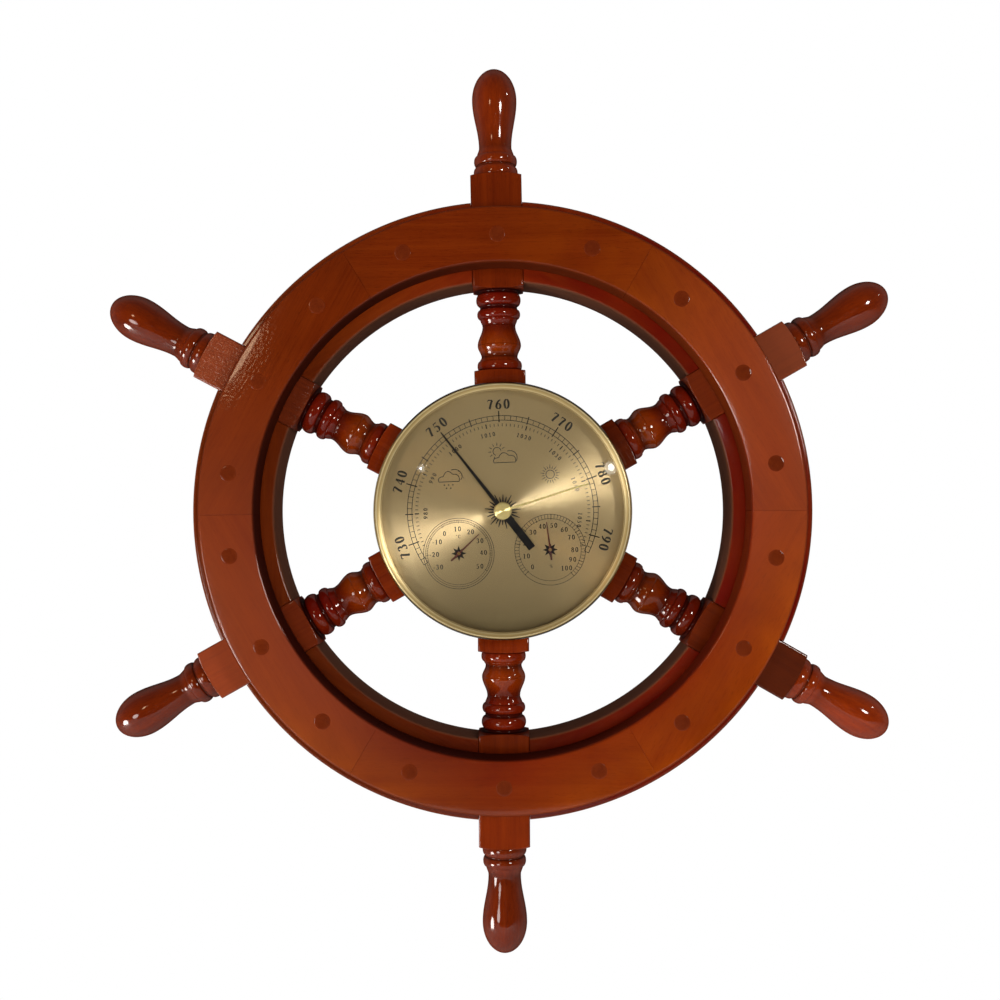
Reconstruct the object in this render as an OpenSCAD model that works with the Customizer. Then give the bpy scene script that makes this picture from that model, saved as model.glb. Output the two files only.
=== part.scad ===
// Wall weather station in a ship's wheel: a six-spoked wooden wheel with an instrument in its hub
// that holds a barometer, a thermometer and a hygrometer behind one glass.
// X is to the right, Z is up, the front faces -Y and the wall is the plane y = 0.
// Each piece is drawn lying on its back, with +Z towards the viewer, and is stood up at the end.

/* [Rim] */
// Inner radius of the front and rear rings
ring_in_r = 122.7; // [112:0.1:135]
// Width of the front and rear rings
ring_w = 27.8; // [24:0.1:32]
// How far the middle layer reaches past the rings, inside and outside
felloe_lip = 6.7; // [4:0.1:9]
// Thickness of the front ring
front_t = 18; // [12:0.5:24]
// Thickness of the rear ring
rear_t = 12; // [10:0.5:18]
// Radius of the eased edges of the rings
ease_r = 1.4; // [0.5:0.1:3]
// Gap left in a glued seam
seam = 0.1; // [0.02:0.01:0.2]
// Distance of the pegs from the rings' outer edge
peg_inset = 14.1; // [11:0.1:16]
// Radius of a peg
peg_r = 4; // [2.5:0.1:5]
// Angle from a spoke's peg to the next one
peg_step = 20; // [15:0.5:23]
// How far a peg goes into the rear ring
peg_bite = 7; // [3:0.5:8]
// How far a peg stands proud of the front
peg_proud = 0.2; // [0:0.1:1]
// Clearance round a peg or a screw in its hole
peg_fit = 0.03; // [0.01:0.01:0.08]

/* [Spokes] */
// Side of the square bar that a spoke is turned from, and thickness of the middle layer
bar = 26; // [24.5:0.5:28]
// Broken edge of the bar
bar_ease = 0.8; // [0.3:0.1:1.5]
// Length of a handle, from the rim block to its tip
handle_l = 59.2; // [52:0.2:70]
// Length of a rim block outside the middle layer
rim_block_l = 11.8; // [8:0.1:14]
// Length of a hub block outside the hub
hub_block_l = 7.4; // [6:0.2:9]
// Length of the rounded shoulder at the end of a block
shoulder_l = 2.8; // [1.5:0.1:3.2]
// Radius of the beads
bead_r = 11.5; // [10.5:0.1:12]
// Radius of the grooves beside the beads
groove_r = 9.6; // [8.6:0.1:10.2]
// Radius of the waist of the inner spoke
waist_r = 8.5; // [7:0.1:9.5]
// Radius of the belly of the inner spoke
belly_r = 11.2; // [10:0.1:12]
// Radius of the handle's neck
neck_r = 8.4; // [7:0.1:9.5]
// Radius of the handle's thickest place
grip_r = 11.5; // [10.5:0.1:12.5]
// Length of the handle's rounded end
dome_l = 16; // [10:0.5:18]
// Direction of the right-hand upper spoke
spoke_1_angle = 29.9; // [27:0.1:33]
// Direction of the top spoke
spoke_2_angle = 91.2; // [87:0.1:93]
// Direction of the left-hand upper spoke
spoke_3_angle = 152.2; // [147:0.1:153]
// Direction of the left-hand lower spoke
spoke_4_angle = 209.4; // [207:0.1:213]
// Direction of the bottom spoke
spoke_5_angle = 270.3; // [267:0.1:273]
// Direction of the right-hand lower spoke
spoke_6_angle = 330.3; // [327:0.1:333]

/* [Hub] */
// How far the hub reaches past the flange of the instrument's case
hub_margin = 0.2; // [0:0.1:1.5]
// How far the hub's rounded back edge draws in
hub_back_round = 3; // [2:0.5:4.5]
// Wood left behind the pocket
hub_floor = 9; // [8:0.5:11]
// Wood between the pocket and a mortise
mortise_wall = 2.6; // [2:0.1:4]
// Clearance of a spoke in its mortise
mortise_fit = 0.1; // [0.05:0.01:0.15]
// Radius of a spoke screw
spoke_screw_r = 1.75; // [1.5:0.05:2.5]
// Radius of a spoke screw's head
spoke_screw_head_r = 3.2; // [2.8:0.1:4]
// Height of a spoke screw's head
spoke_screw_head_t = 1.2; // [0.8:0.1:1.4]
// Length of a spoke screw under its head
spoke_screw_l = 24; // [16:1:32]

/* [Hanger] */
// Height of the keyhole's round hole above the centre
hang_y = 34; // [30:0.5:36]
// Radius of the keyhole's round hole
hang_hole_r = 4.5; // [4:0.1:5]
// Width of the keyhole's slot
hang_slot_w = 4.2; // [3.6:0.1:4.8]
// Length of the keyhole's slot, from the middle of the hole
hang_slot_l = 10; // [8:0.5:11]
// Width of the hanger plate
hanger_w = 18; // [16:0.5:20]
// Thickness of the hanger plate
hanger_t = 1.6; // [1.2:0.1:2]
// Depth of the hollow behind the keyhole
hang_hollow = 6; // [5:0.5:6.5]
// Distance from the keyhole's hole to the lower screw
hanger_screw_drop = 9.5; // [9:0.5:11]
// Distance from the keyhole's hole to the upper screw
hanger_screw_rise = 17.5; // [17:0.5:18]
// Radius of a hanger screw
hanger_screw_r = 1.4; // [1.2:0.1:1.6]
// Radius of a hanger screw's countersunk head
hanger_screw_head_r = 2.7; // [2.4:0.1:3]
// Length of a hanger screw
hanger_screw_l = 7.5; // [5:0.5:8]

/* [Case and glass] */
// Turn of the whole instrument in its pocket
dial_turn = 2.4; // [-6:0.1:6]
// Radius of the glass, the dial and the flange of the case
insert_r = 61.8; // [58:0.1:68]
// How far the bezel reaches past the glass
bezel_wall = 2.2; // [1.8:0.1:4]
// How far the bezel covers the glass
bezel_lip = 2.3; // [1.8:0.1:4]
// Thickness of the bezel over the glass
lip_t = 0.9; // [0.6:0.1:1.4]
// Gap between the bezel and the hub's face
seat_gap = 0.3; // [0.1:0.1:0.4]
// Width of the case's flange
flange_w = 12.3; // [11:0.1:13.5]
// Gap behind the case, for the adjusting screw's head
case_gap = 2; // [1.8:0.1:3]
// Thickness of the case's sheet metal
sheet = 0.8; // [0.5:0.1:0.9]
// Thickness of the rubber grip
grip_t = 2; // [1.6:0.1:3]
// Width of the rubber grip
grip_w = 9; // [6:0.5:12]
// Distance of the rubber grip behind the flange
grip_drop = 3; // [2:0.5:5]
// Thickness of the dial plate
dial_t = 0.7; // [0.4:0.1:1]
// Height of the spacer ring between the dial and the glass
spacer_h = 3.6; // [3.4:0.1:5]
// Radial thickness of the spacer ring
spacer_w = 1.4; // [0.8:0.1:1.8]
// Thickness of the gasket
gasket_t = 0.4; // [0.2:0.1:0.6]
// Thickness of the glass
glass_t = 2; // [1.5:0.1:2.5]
// Radius of the hole in the glass
glass_hole_r = 2.8; // [2.4:0.1:3]
// Clearance between pieces stacked in the case
lay = 0.05; // [0.02:0.01:0.06]

/* [Hands and knob] */
// Reach of the barometer hand
baro_reach = 48.6; // [44:0.2:52]
// Reach of the barometer hand's tail
baro_tail = 23.4; // [18:0.2:28]
// Width of the barometer hand's tail
baro_tail_w = 3.8; // [3:0.1:4.5]
// Reading that the barometer hand shows, in mm of mercury
baro_reading = 750; // [745:1:755]
// Angle of the dial for each mm of mercury
baro_deg = 3.59; // [3.5:0.01:3.65]
// Reach of the set hand
set_reach = 44.5; // [40:0.2:50]
// Direction of the set hand on the dial
set_angle = 15.4; // [0:0.2:40]
// Reach of the hands of the two small dials
small_reach = 13.9; // [12:0.1:15]
// Reach of their tails
small_tail = 5.2; // [4:0.1:6]
// Direction of the thermometer hand on the dial
thermo_angle = 41.5; // [30:0.5:60]
// Direction of the hygrometer hand on the dial
hygro_angle = 95.2; // [80:0.5:110]
// Distance of the small dials to each side of the centre
small_x = 22.65; // [22:0.05:24]
// Distance of the small dials below the centre
small_y = 20.15; // [19.5:0.05:21]
// Thickness of a hand
hand_t = 0.25; // [0.15:0.05:0.35]
// Gap between the levels of the hands
hand_gap = 0.55; // [0.5:0.01:0.6]
// Radius of the set hand's knob
knob_r = 4.2; // [3.8:0.1:6]
// Height of the set hand's knob
knob_h = 4; // [3:0.1:6]
// Radius of the knob's stem
stem_r = 1.2; // [0.9:0.1:1.4]

/* [Movement] */
// Height between the front plate and the dial, for the coils of the small dials
coil_room = 10.4; // [9.6:0.1:14]
// Thickness of a movement plate
plate_t = 1.2; // [1:0.1:1.5]
// Gap between the rear plate and the wall of the case
plate_gap = 4.7; // [3:0.1:6]
// Distance of the pillars from the rear plate's edge
pillar_inset = 6; // [5:0.1:7]
// Radius of a pillar
pillar_r = 2; // [1.5:0.1:2.5]
// Radius of the pressure capsule
capsule_r = 18; // [15:0.5:19]
// Height of the pressure capsule
capsule_h = 7.4; // [6:0.1:9]
// Height of the capsule's stud and of its post
stud_l = 1; // [0.8:0.1:2]
// Thickness of the main spring
leaf_t = 1.2; // [0.8:0.1:1.6]
// Width of the main spring
leaf_w = 8; // [6:0.5:10]
// Distance of the main spring's foot from the centre
spring_x = 29; // [27:0.5:31]
// Height of the rocking shaft over the main spring
rocker_lift = 3; // [2.5:0.1:4]
// Distance of the rocking shaft from the centre
rocker_x = 17.5; // [17:0.1:18]
// Radius of the rocking shaft
rocker_r = 0.8; // [0.6:0.1:1]
// Height of the rocker's finger
finger_l = 10.2; // [9.9:0.1:10.6]
// Height of the middle of the sector gear over the rocking shaft
sector_lift = 8; // [7.5:0.1:8.3]
// Module of the gear teeth
tooth_m = 0.5; // [0.48:0.01:0.52]
// Teeth of the pinion
pinion_n = 12; // [12:1:14]
// Teeth that the sector would have all round for each tooth of the pinion
gear_ratio = 8; // [7:1:8]
// Thickness of the sector gear
sector_t = 1.6; // [1.2:0.1:1.8]
// Radius of the arbors
arbor_r = 0.7; // [0.6:0.05:0.8]
// Running clearance of a pivot
run = 0.05; // [0.03:0.01:0.08]
// Outer radius of a bimetal coil
coil_r = 8.4; // [7:0.1:9]
// Width of a bimetal coil's strip
coil_w = 4; // [3:0.1:4.5]

/* [Hidden] */
$fn = 96;

wood = "#8a3410";
dark_wood = "#4c180a";
gold = "#c9a54a";
pale_gold = "#d8c690";

spokes = [spoke_1_angle, spoke_2_angle, spoke_3_angle, spoke_4_angle, spoke_5_angle, spoke_6_angle];
// Direction of spoke i, counted round past the last one
function spoke_at(i) = spokes[(i + 6) % 6] + 360 * floor(i / 6);
// Direction of the seam after spoke i
function seam_at(i) = (spoke_at(i) + spoke_at(i + 1)) / 2;

ring_out_r = ring_in_r + ring_w;
felloe_in_r = ring_in_r - felloe_lip;
felloe_out_r = ring_out_r + felloe_lip;
peg_circle_r = ring_out_r - peg_inset;
block_out_r = felloe_out_r + rim_block_l;
tip_r = block_out_r + handle_l;

case_r = insert_r - flange_w;
pocket_r = case_r + grip_t;
mortise_r = pocket_r + mortise_wall;
hub_r = insert_r + hub_margin;
hub_back_r = hub_r - hub_back_round;
hub_block_r = hub_r + hub_block_l;
bezel_r = insert_r + bezel_wall;
window_r = insert_r - bezel_lip;
plate_r = case_r - sheet - plate_gap;
pillar_circle_r = plate_r - pillar_inset;

axis_z = rear_t + bar / 2;
front_z = rear_t + bar;
rim_top_z = front_z + front_t;
peg_back_z = rear_t - peg_bite;

case_z = hub_floor + case_gap;
case_floor_z = case_z + sheet;
back_z = case_floor_z + lay;
back_top_z = back_z + plate_t;
capsule_z = back_top_z + stud_l;
leaf_z = capsule_z + capsule_h + stud_l + 0.4;
rocker_z = leaf_z + leaf_t + rocker_lift;
sector_z = rocker_z + sector_lift - sector_t / 2;
pinion_face = sector_t + 1.4;
pinion_z = sector_z - 0.7;
cock_t = 1.2;
cock_z = pinion_z - 1 - cock_t;
hairspring_z = pinion_z + pinion_face + 0.3;
hairspring_w = 0.8;
front_plate_z = hairspring_z + hairspring_w + 1.2;
front_plate_top_z = front_plate_z + plate_t;

dial_z = front_plate_top_z + coil_room;
dial_top_z = dial_z + dial_t;
flange_z = dial_z - lay - sheet;
crimp_t = 0.25;
seat_z = flange_z - lay - crimp_t;
hub_t = seat_z - seat_gap;
small_hand_z = dial_top_z + hand_gap;
baro_hand_z = small_hand_z + hand_t + hand_gap;
set_hand_z = baro_hand_z + 2 * hand_t + hand_gap;
spacer_z = dial_top_z + lay;
gasket_z = spacer_z + spacer_h + lay;
glass_z = gasket_z + gasket_t + lay;
glass_top_z = glass_z + glass_t;
bush_flange_t = 0.4;
knob_z = glass_top_z + bush_flange_t + 3 * lay;

rocker_front_y = 13;
rocker_back_y = 8 - plate_r;
finger_y = rocker_back_y + 4.8;
finger_r = 0.6;
pinion_pitch_r = tooth_m * pinion_n / 2;
sector_n = pinion_n * gear_ratio;
sector_pitch_r = tooth_m * sector_n / 2;
sector_dir = -60;
sector_x = (pinion_pitch_r + sector_pitch_r) * cos(sector_dir);
sector_y = (pinion_pitch_r + sector_pitch_r) * sin(sector_dir);
coil_z = dial_z - 2.4 - coil_w;
bracket_t = 0.8;
bracket_z = coil_z - 1 - bracket_t;
bracket_half = coil_r + 2.2;
small_arbor_z = bracket_z - 0.3;
baro_rest = 90 + (760 - baro_reading) * baro_deg;

// Stands a piece up so that its front faces -Y
module stand() rotate([90, 0, 0]) children();

// Outline from a to b, r going from ra to rb along an S
function sweep(a, ra, b, rb, n = 6) =
    [for (i = [0:n]) let (t = i / n) [ra + (rb - ra) * (1 - cos(180 * t)) / 2, a + (b - a) * t]];
// Half-round bead from a to b
function bead(a, b, foot, crest, n = 10) =
    [for (i = [0:n]) let (t = i / n)
        [foot + (crest - foot) * sin(180 * t), (a + b) / 2 - (b - a) / 2 * cos(180 * t)]];
// Quarter-round from radius ra at a to radius rb at b
function shoulder(a, ra, b, rb, n = 6) =
    [for (i = [0:n]) [rb + (ra - rb) * cos(90 * i / n), a + (b - a) * sin(90 * i / n)]];
function reversed(p) = [for (i = [len(p) - 1:-1:0]) p[i]];
// Quarter circle of radius e about c, from angle a to a + 90
function corner(c, e, a, n = 4) = [for (i = [0:n]) c + e * [cos(a + 90 * i / n), sin(a + 90 * i / n)]];
// Rectangle with eased corners
function eased(r0, r1, z0, z1, e) = concat(
    corner([r1 - e, z0 + e], e, -90), corner([r1 - e, z1 - e], e, 0),
    corner([r0 + e, z1 - e], e, 90), corner([r0 + e, z0 + e], e, 180));

module ring(r0, r1, z0, z1, e) rotate_extrude() polygon(eased(r0, r1, z0, z1, e));

// Slice of space between the directions a and b
module wedge(a, b) {
    far = felloe_out_r * 1.3;
    inset = asin(seam / 2 / peg_circle_r);
    linear_extrude(height = rim_top_z * 3, center = true)
        polygon([[0, 0], far * [cos(a + inset), sin(a + inset)],
            1.1 * far * [cos((a + b) / 2), sin((a + b) / 2)], far * [cos(b - inset), sin(b - inset)]]);
}

module peg(a, z0, z1, r) rotate(a) translate([peg_circle_r, 0, z0]) cylinder(r = r, h = z1 - z0);

// Felloe i of the front ring, centred on spoke i
module front_felloe(i) color(wood) difference() {
    intersection() {
        ring(ring_in_r, ring_out_r, front_z + seam / 2, rim_top_z, ease_r);
        wedge(seam_at(i - 1), seam_at(i));
    }
    for (k = [-1:1]) peg(spoke_at(i) + k * peg_step, front_z - 1, rim_top_z + 1, peg_r + peg_fit);
}

// Felloe i of the rear ring, behind the front one
module rear_felloe(i) color(wood) difference() {
    intersection() {
        ring(ring_in_r, ring_out_r, 0, rear_t - seam / 2, ease_r);
        wedge(seam_at(i - 1), seam_at(i));
    }
    for (k = [-1:1]) peg(spoke_at(i) + k * peg_step, peg_back_z - seam, rear_t + 1, peg_r + peg_fit);
}

// Felloe i of the middle layer, from spoke i to the next one
module middle_felloe(i) color(wood) difference() {
    intersection() {
        ring(felloe_in_r, felloe_out_r, rear_t, front_z, ease_r);
        wedge(spoke_at(i), spoke_at(i + 1));
    }
    for (a = [spoke_at(i), spoke_at(i + 1)]) rotate(a) translate([0, -bar / 2 - seam, rear_t - 1])
        cube([felloe_out_r + 5, bar + 2 * seam, bar + 2]);
    for (a = [spoke_at(i) + peg_step, spoke_at(i + 1) - peg_step])
        peg(a, rear_t - 1, front_z + 1, peg_r + peg_fit);
}

block_in_r = felloe_in_r;
bar_corner_r = bar / sqrt(2);
spoke_root_r = mortise_r + mortise_fit;
function total(v, n) = n == 0 ? 0 : v[n - 1] + total(v, n - 1);
// Lengths of the turned forms between the two blocks, drawn out or pressed together to fill the bar:
// shoulder, near bead, groove, belly, slope, waist, small bead, groove, far bead, groove, shoulder
inner_forms = [shoulder_l, 5.2, 2, 6, 9.9, 3.7, 4.8, 1.8, 6.4, 1.2, shoulder_l];
inner_at = [for (i = [0:len(inner_forms)]) hub_block_r
    + (block_in_r - hub_block_r) * total(inner_forms, i) / total(inner_forms, len(inner_forms))];
near_bead_a = inner_at[1];
near_bead_b = inner_at[2];
belly_a = inner_at[3];
belly_top = inner_at[4];
waist_at = inner_at[5];
small_bead_a = inner_at[6];
small_bead_b = inner_at[7];
far_bead_a = inner_at[8];
far_bead_b = inner_at[9];
far_groove_b = inner_at[10];
// Places along the handle, from the rim block outwards
collar_a = block_out_r + shoulder_l;
collar_b = collar_a + 5;
ring_bead_a = collar_b + 1.2;
ring_bead_b = ring_bead_a + 5;
neck_at = ring_bead_b + 4.8;
dome_at = tip_r - dome_l;

spoke_outline = concat(
    [[0, spoke_root_r], [bar_corner_r + 1, spoke_root_r]],
    shoulder(hub_block_r, bar_corner_r + 1, near_bead_a, groove_r + 0.8),
    bead(near_bead_a, near_bead_b, groove_r + 0.6, bead_r),
    sweep(near_bead_b, groove_r + 0.6, belly_a, groove_r - 0.3, 3),
    sweep(belly_a, groove_r - 0.3, belly_top, belly_r),
    sweep(belly_top, belly_r, waist_at, waist_r),
    sweep(waist_at, waist_r, small_bead_a, groove_r, 4),
    bead(small_bead_a, small_bead_b, groove_r, bead_r - 0.4),
    bead(far_bead_a, far_bead_b, groove_r, bead_r),
    reversed([for (p = shoulder(-block_in_r, bar_corner_r + 1, -far_groove_b, groove_r + 0.6))
        [p[0], -p[1]]]),
    shoulder(block_out_r, bar_corner_r + 1, collar_a, groove_r + 1.3),
    bead(collar_a, collar_b, groove_r + 1, bead_r - 0.1),
    bead(ring_bead_a, ring_bead_b, groove_r + 0.3, bead_r - 0.4),
    sweep(ring_bead_b, groove_r, neck_at, neck_r, 5),
    sweep(neck_at, neck_r, dome_at, grip_r, 10),
    shoulder(dome_at, grip_r, tip_r, 0, 12));

// Spoke with its handle, turned from one square bar
module spoke(i) color(wood) rotate(spoke_at(i)) difference() {
    translate([0, 0, axis_z]) rotate([0, 90, 0]) intersection() {
        rotate_extrude() polygon(spoke_outline);
        translate([0, 0, spoke_root_r]) linear_extrude(height = tip_r) {
            half = bar / 2;
            cut = half - bar_ease;
            polygon([[half, -cut], [half, cut], [cut, half], [-cut, half],
                [-half, cut], [-half, -cut], [-cut, -half], [cut, -half]]);
        }
    }
    peg(0, rear_t - 1, front_z + 1, peg_r + peg_fit);
    translate([0, 0, axis_z]) rotate([0, 90, 0]) cylinder(r = spoke_screw_r + peg_fit,
        h = screw_seat_r + spoke_screw_l + 1);
}

module spoke_pegs() color(dark_wood)
    for (a = spokes) peg(a, peg_back_z, rim_top_z + peg_proud, peg_r);

module felloe_pegs() color(dark_wood)
    for (a = spokes, k = [-1, 1]) peg(a + k * peg_step, peg_back_z, rim_top_z + peg_proud, peg_r);

screw_seat_r = pocket_r + 0.4;

// Turned disc with a blind pocket, six mortises and the hollow of the hanger
module hub_body() color(wood) difference() {
    rotate_extrude() polygon(concat([[0, 0]], reversed(shoulder(5, hub_r, 0, hub_back_r)),
        shoulder(hub_t - ease_r, hub_r, hub_t, hub_r - ease_r, 4), [[0, hub_t]]));
    translate([0, 0, hub_floor]) cylinder(r = pocket_r, h = hub_t);
    inside_r = pocket_r - 4;
    for (a = spokes) rotate(a) {
        translate([mortise_r, -bar / 2 - mortise_fit, rear_t - mortise_fit])
            cube([hub_r - mortise_r + 4, bar + 2 * mortise_fit, bar + 2 * mortise_fit]);
        translate([inside_r, 0, axis_z]) rotate([0, 90, 0]) {
            cylinder(r = spoke_screw_r + peg_fit, h = mortise_r - inside_r + 1);
            cylinder(r = spoke_screw_head_r + 0.4, h = screw_seat_r - inside_r);
        }
    }
    hanger_outline(hanger_t + seam, seam);
    translate([0, hang_y, -1]) {
        cylinder(r = hang_hole_r + 0.8, h = hang_hollow + 1);
        translate([0, hang_slot_l, 0]) cylinder(r = hang_hole_r + 0.8, h = hang_hollow + 1);
        translate([-hang_hole_r - 0.8, 0, 0])
            cube([2 * hang_hole_r + 1.6, hang_slot_l, hang_hollow + 1]);
    }
    for (y = hanger_screw_ys) translate([0, y, -1])
        cylinder(r = hanger_screw_r + peg_fit, h = hanger_screw_l + 1.3);
}

hanger_screw_ys = [hang_y - hanger_screw_drop, hang_y + hanger_screw_rise];

// Blank of the hanger plate, widened by grow
module hanger_outline(t, grow) translate([0, 0, -seam]) linear_extrude(height = t + seam) {
    low = hanger_screw_ys[0];
    high = hanger_screw_ys[1];
    end_r = hanger_screw_head_r + 1.4 + grow;
    translate([0, low]) circle(r = end_r);
    translate([0, high]) circle(r = end_r);
    translate([-end_r, low]) square([2 * end_r, high - low]);
    translate([-hanger_w / 2 - grow, hang_y - hang_hole_r - 1 - grow])
        square([hanger_w + 2 * grow, hang_hole_r + hang_slot_l + 4 + 2 * grow]);
}

// Keyhole plate, flush with the hub's back
module hanger_plate() color(gold) difference() {
    intersection() {
        hanger_outline(hanger_t, 0);
        translate([-hub_r, -hub_r, 0]) cube([2 * hub_r, 2 * hub_r, hanger_t]);
    }
    translate([0, hang_y, -1]) {
        cylinder(r = hang_hole_r, h = hanger_t + 2);
        translate([-hang_slot_w / 2, 0, 0]) cube([hang_slot_w, hang_slot_l, hanger_t + 2]);
        translate([0, hang_slot_l, 0]) cylinder(r = hang_slot_w / 2, h = hanger_t + 2);
    }
    for (y = hanger_screw_ys) translate([0, y, 0]) hanger_screw_shape(peg_fit, 1);
}

// Countersunk screw, its head flush at z = 0
module hanger_screw_shape(grow, below) rotate_extrude() polygon([
    [0, -below], [hanger_screw_head_r + grow, -below], [hanger_screw_head_r + grow, 0.2],
    [hanger_screw_r + grow, 0.2 + hanger_screw_head_r - hanger_screw_r],
    [hanger_screw_r + grow, hanger_screw_l], [0, hanger_screw_l]]);

module hanger_screws() color(gold) for (y = hanger_screw_ys) translate([0, y, 0]) difference() {
    hanger_screw_shape(0, 0);
    translate([-hanger_screw_head_r, -0.3, -1]) cube([2 * hanger_screw_head_r, 0.6, 1.6]);
}

// Pan-headed screws, from the pocket into the spokes' end grain
module hub_screws() color("silver") for (a = spokes) rotate(a) translate([0, 0, axis_z])
    rotate([0, 90, 0]) difference() {
        union() {
            translate([0, 0, screw_seat_r - spoke_screw_head_t])
                cylinder(r = spoke_screw_head_r, h = spoke_screw_head_t);
            translate([0, 0, screw_seat_r - 0.2]) cylinder(r = spoke_screw_r, h = spoke_screw_l);
        }
        translate([-spoke_screw_head_r, -0.4, screw_seat_r - spoke_screw_head_t - 1])
            cube([2 * spoke_screw_head_r, 0.8, 1.6]);
    }

// Pressed cup that holds the movement
module case_cup() color("silver") difference() {
    union() {
        translate([0, 0, case_z]) cylinder(r = case_r, h = flange_z + sheet - case_z);
        translate([0, 0, flange_z]) cylinder(r = insert_r, h = sheet);
    }
    translate([0, 0, case_floor_z]) cylinder(r = case_r - sheet, h = hub_t);
    translate([adjuster_x, 0, case_z - 1]) cylinder(r = adjuster_r + run, h = 5);
}

// Ribbed rubber ring that grips the pocket
module grip_ring() color("#222222") difference() {
    top = flange_z - grip_drop;
    pitch = grip_w / 3;
    rib = pocket_r - run;
    rotate_extrude() polygon(concat(
        [[case_r + run, top], [case_r + run, top - grip_w]],
        [for (k = [0:2], p = [[rib - 0.6, 0], [rib, 0.4 * pitch], [rib - 0.6, 0.8 * pitch]])
            [p[0], top - grip_w + k * pitch + p[1]]],
        [[rib - 0.6, top]]));
}

// Turned brass ring over the glass, crimped under the case's flange
module bezel() color(gold) {
    wall_r = insert_r + 2 * lay;
    crest_r = bezel_r - 2.4;
    crest_z = glass_top_z + lay + lip_t;
    foot_z = seat_z + 2.6;
    rotate_extrude() polygon(concat(
        [[wall_r - 0.7, seat_z], [bezel_r - 0.8, seat_z], [bezel_r, seat_z + 0.6]],
        [for (i = [0:8]) [crest_r + (bezel_r - crest_r) * cos(90 * i / 8),
            foot_z + (crest_z - foot_z) * sin(90 * i / 8)]],
        [for (i = [1:4]) [window_r + (crest_r - window_r) * (1 - i / 4),
            crest_z - 0.4 * lip_t * (1 - cos(90 * i / 4))]],
        [[window_r, glass_top_z + lay], [wall_r, glass_top_z + lay], [wall_r, seat_z + crimp_t],
            [wall_r - 0.7, seat_z + crimp_t]]));
}

module glass() color("#dfe8e4", 0.35) translate([0, 0, glass_z]) difference() {
    cylinder(r = insert_r, h = glass_t);
    translate([0, 0, -1]) cylinder(r = glass_hole_r, h = glass_t + 2);
}

module glass_gasket() color("#303030")
    ring(insert_r - spacer_w, insert_r, gasket_z, gasket_z + gasket_t, gasket_t / 4);

module spacer_ring() color(pale_gold)
    ring(insert_r - spacer_w, insert_r, spacer_z, spacer_z + spacer_h, 0.2);

// Flanged bush in the glass, for the knob's stem
module glass_bush() color(gold) {
    bore = stem_r + run;
    body = glass_hole_r - lay;
    wide = glass_hole_r + 0.8;
    low = glass_z - lay;
    high = glass_top_z + lay;
    rotate_extrude() polygon([[bore, low - bush_flange_t], [wide, low - bush_flange_t], [wide, low],
        [body, low], [body, high], [wide, high], [wide, high + bush_flange_t],
        [bore, high + bush_flange_t]]);
}

module dial_plate() color(pale_gold) translate([0, 0, dial_z]) difference() {
    cylinder(r = insert_r, h = dial_t);
    translate([0, 0, -1]) cylinder(r = arbor_r + 1, h = dial_t + 2);
    for (x = [-small_x, small_x]) translate([x, -small_y, -1]) cylinder(r = arbor_r + 0.5, h = dial_t + 2);
}

adjuster_x = -24;
adjuster_r = 1.5;

// Rear plate of the movement, with two lugs that carry the rocker
module back_plate() color(gold) difference() {
    union() {
        translate([0, 0, back_z]) cylinder(r = plate_r, h = plate_t);
        for (y = [rocker_front_y, rocker_back_y]) translate([rocker_x - 2.5, y - 0.6, back_z])
            cube([5, 1.2, rocker_z + 2 - back_z]);
    }
    translate([rocker_x, 0, rocker_z]) rotate([90, 0, 0])
        cylinder(r = rocker_r + run, h = 3 * plate_r, center = true);
    translate([adjuster_x, 0, back_z - 1]) cylinder(r = adjuster_r + run, h = plate_t + 2);
    translate([sector_x, sector_y, back_z - 1]) cylinder(r = arbor_r + run, h = plate_t + 2);
}

// Front plate of the movement: a cross with a bearing for the hand's arbor and one for the sector
module front_plate() color(gold) translate([0, 0, front_plate_z]) difference() {
    linear_extrude(height = plate_t) {
        for (a = [45, 135]) rotate(a) square([2 * pillar_circle_r + 7, 9], center = true);
        circle(r = 13);
        translate([sector_x, sector_y]) circle(r = 5);
    }
    translate([0, 0, -1]) cylinder(r = arbor_r + run, h = plate_t + 2);
    translate([sector_x, sector_y, -1]) cylinder(r = arbor_r + run, h = plate_t + 2);
}

module pillars() color(gold) for (a = [45:90:315]) rotate(a)
    translate([pillar_circle_r, 0, back_top_z]) cylinder(r = pillar_r, h = front_plate_z - back_top_z);

// Evacuated capsule with ripples, its lower stud and its upper post
module aneroid_capsule() color("silver") {
    low = capsule_z;
    high = capsule_z + capsule_h;
    rise = 0.45;
    waves = 3;
    step = (capsule_r - 3) / (waves * 8);
    rotate_extrude() polygon(concat([[0, back_top_z], [2.5, back_top_z], [2.5, low]],
        [for (i = [0:waves * 8]) [3 + i * step, low + rise * (1 - cos(360 * i / 8))]],
        [[capsule_r, low + 0.4 * capsule_h], [capsule_r + 0.8, low + 0.45 * capsule_h],
            [capsule_r + 0.8, low + 0.55 * capsule_h], [capsule_r, low + 0.6 * capsule_h]],
        [for (i = [waves * 8:-1:0]) [3 + i * step, high - rise * (1 - cos(360 * i / 8))]],
        [[1.5, high], [1.5, leaf_z], [0, leaf_z]]));
}

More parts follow.
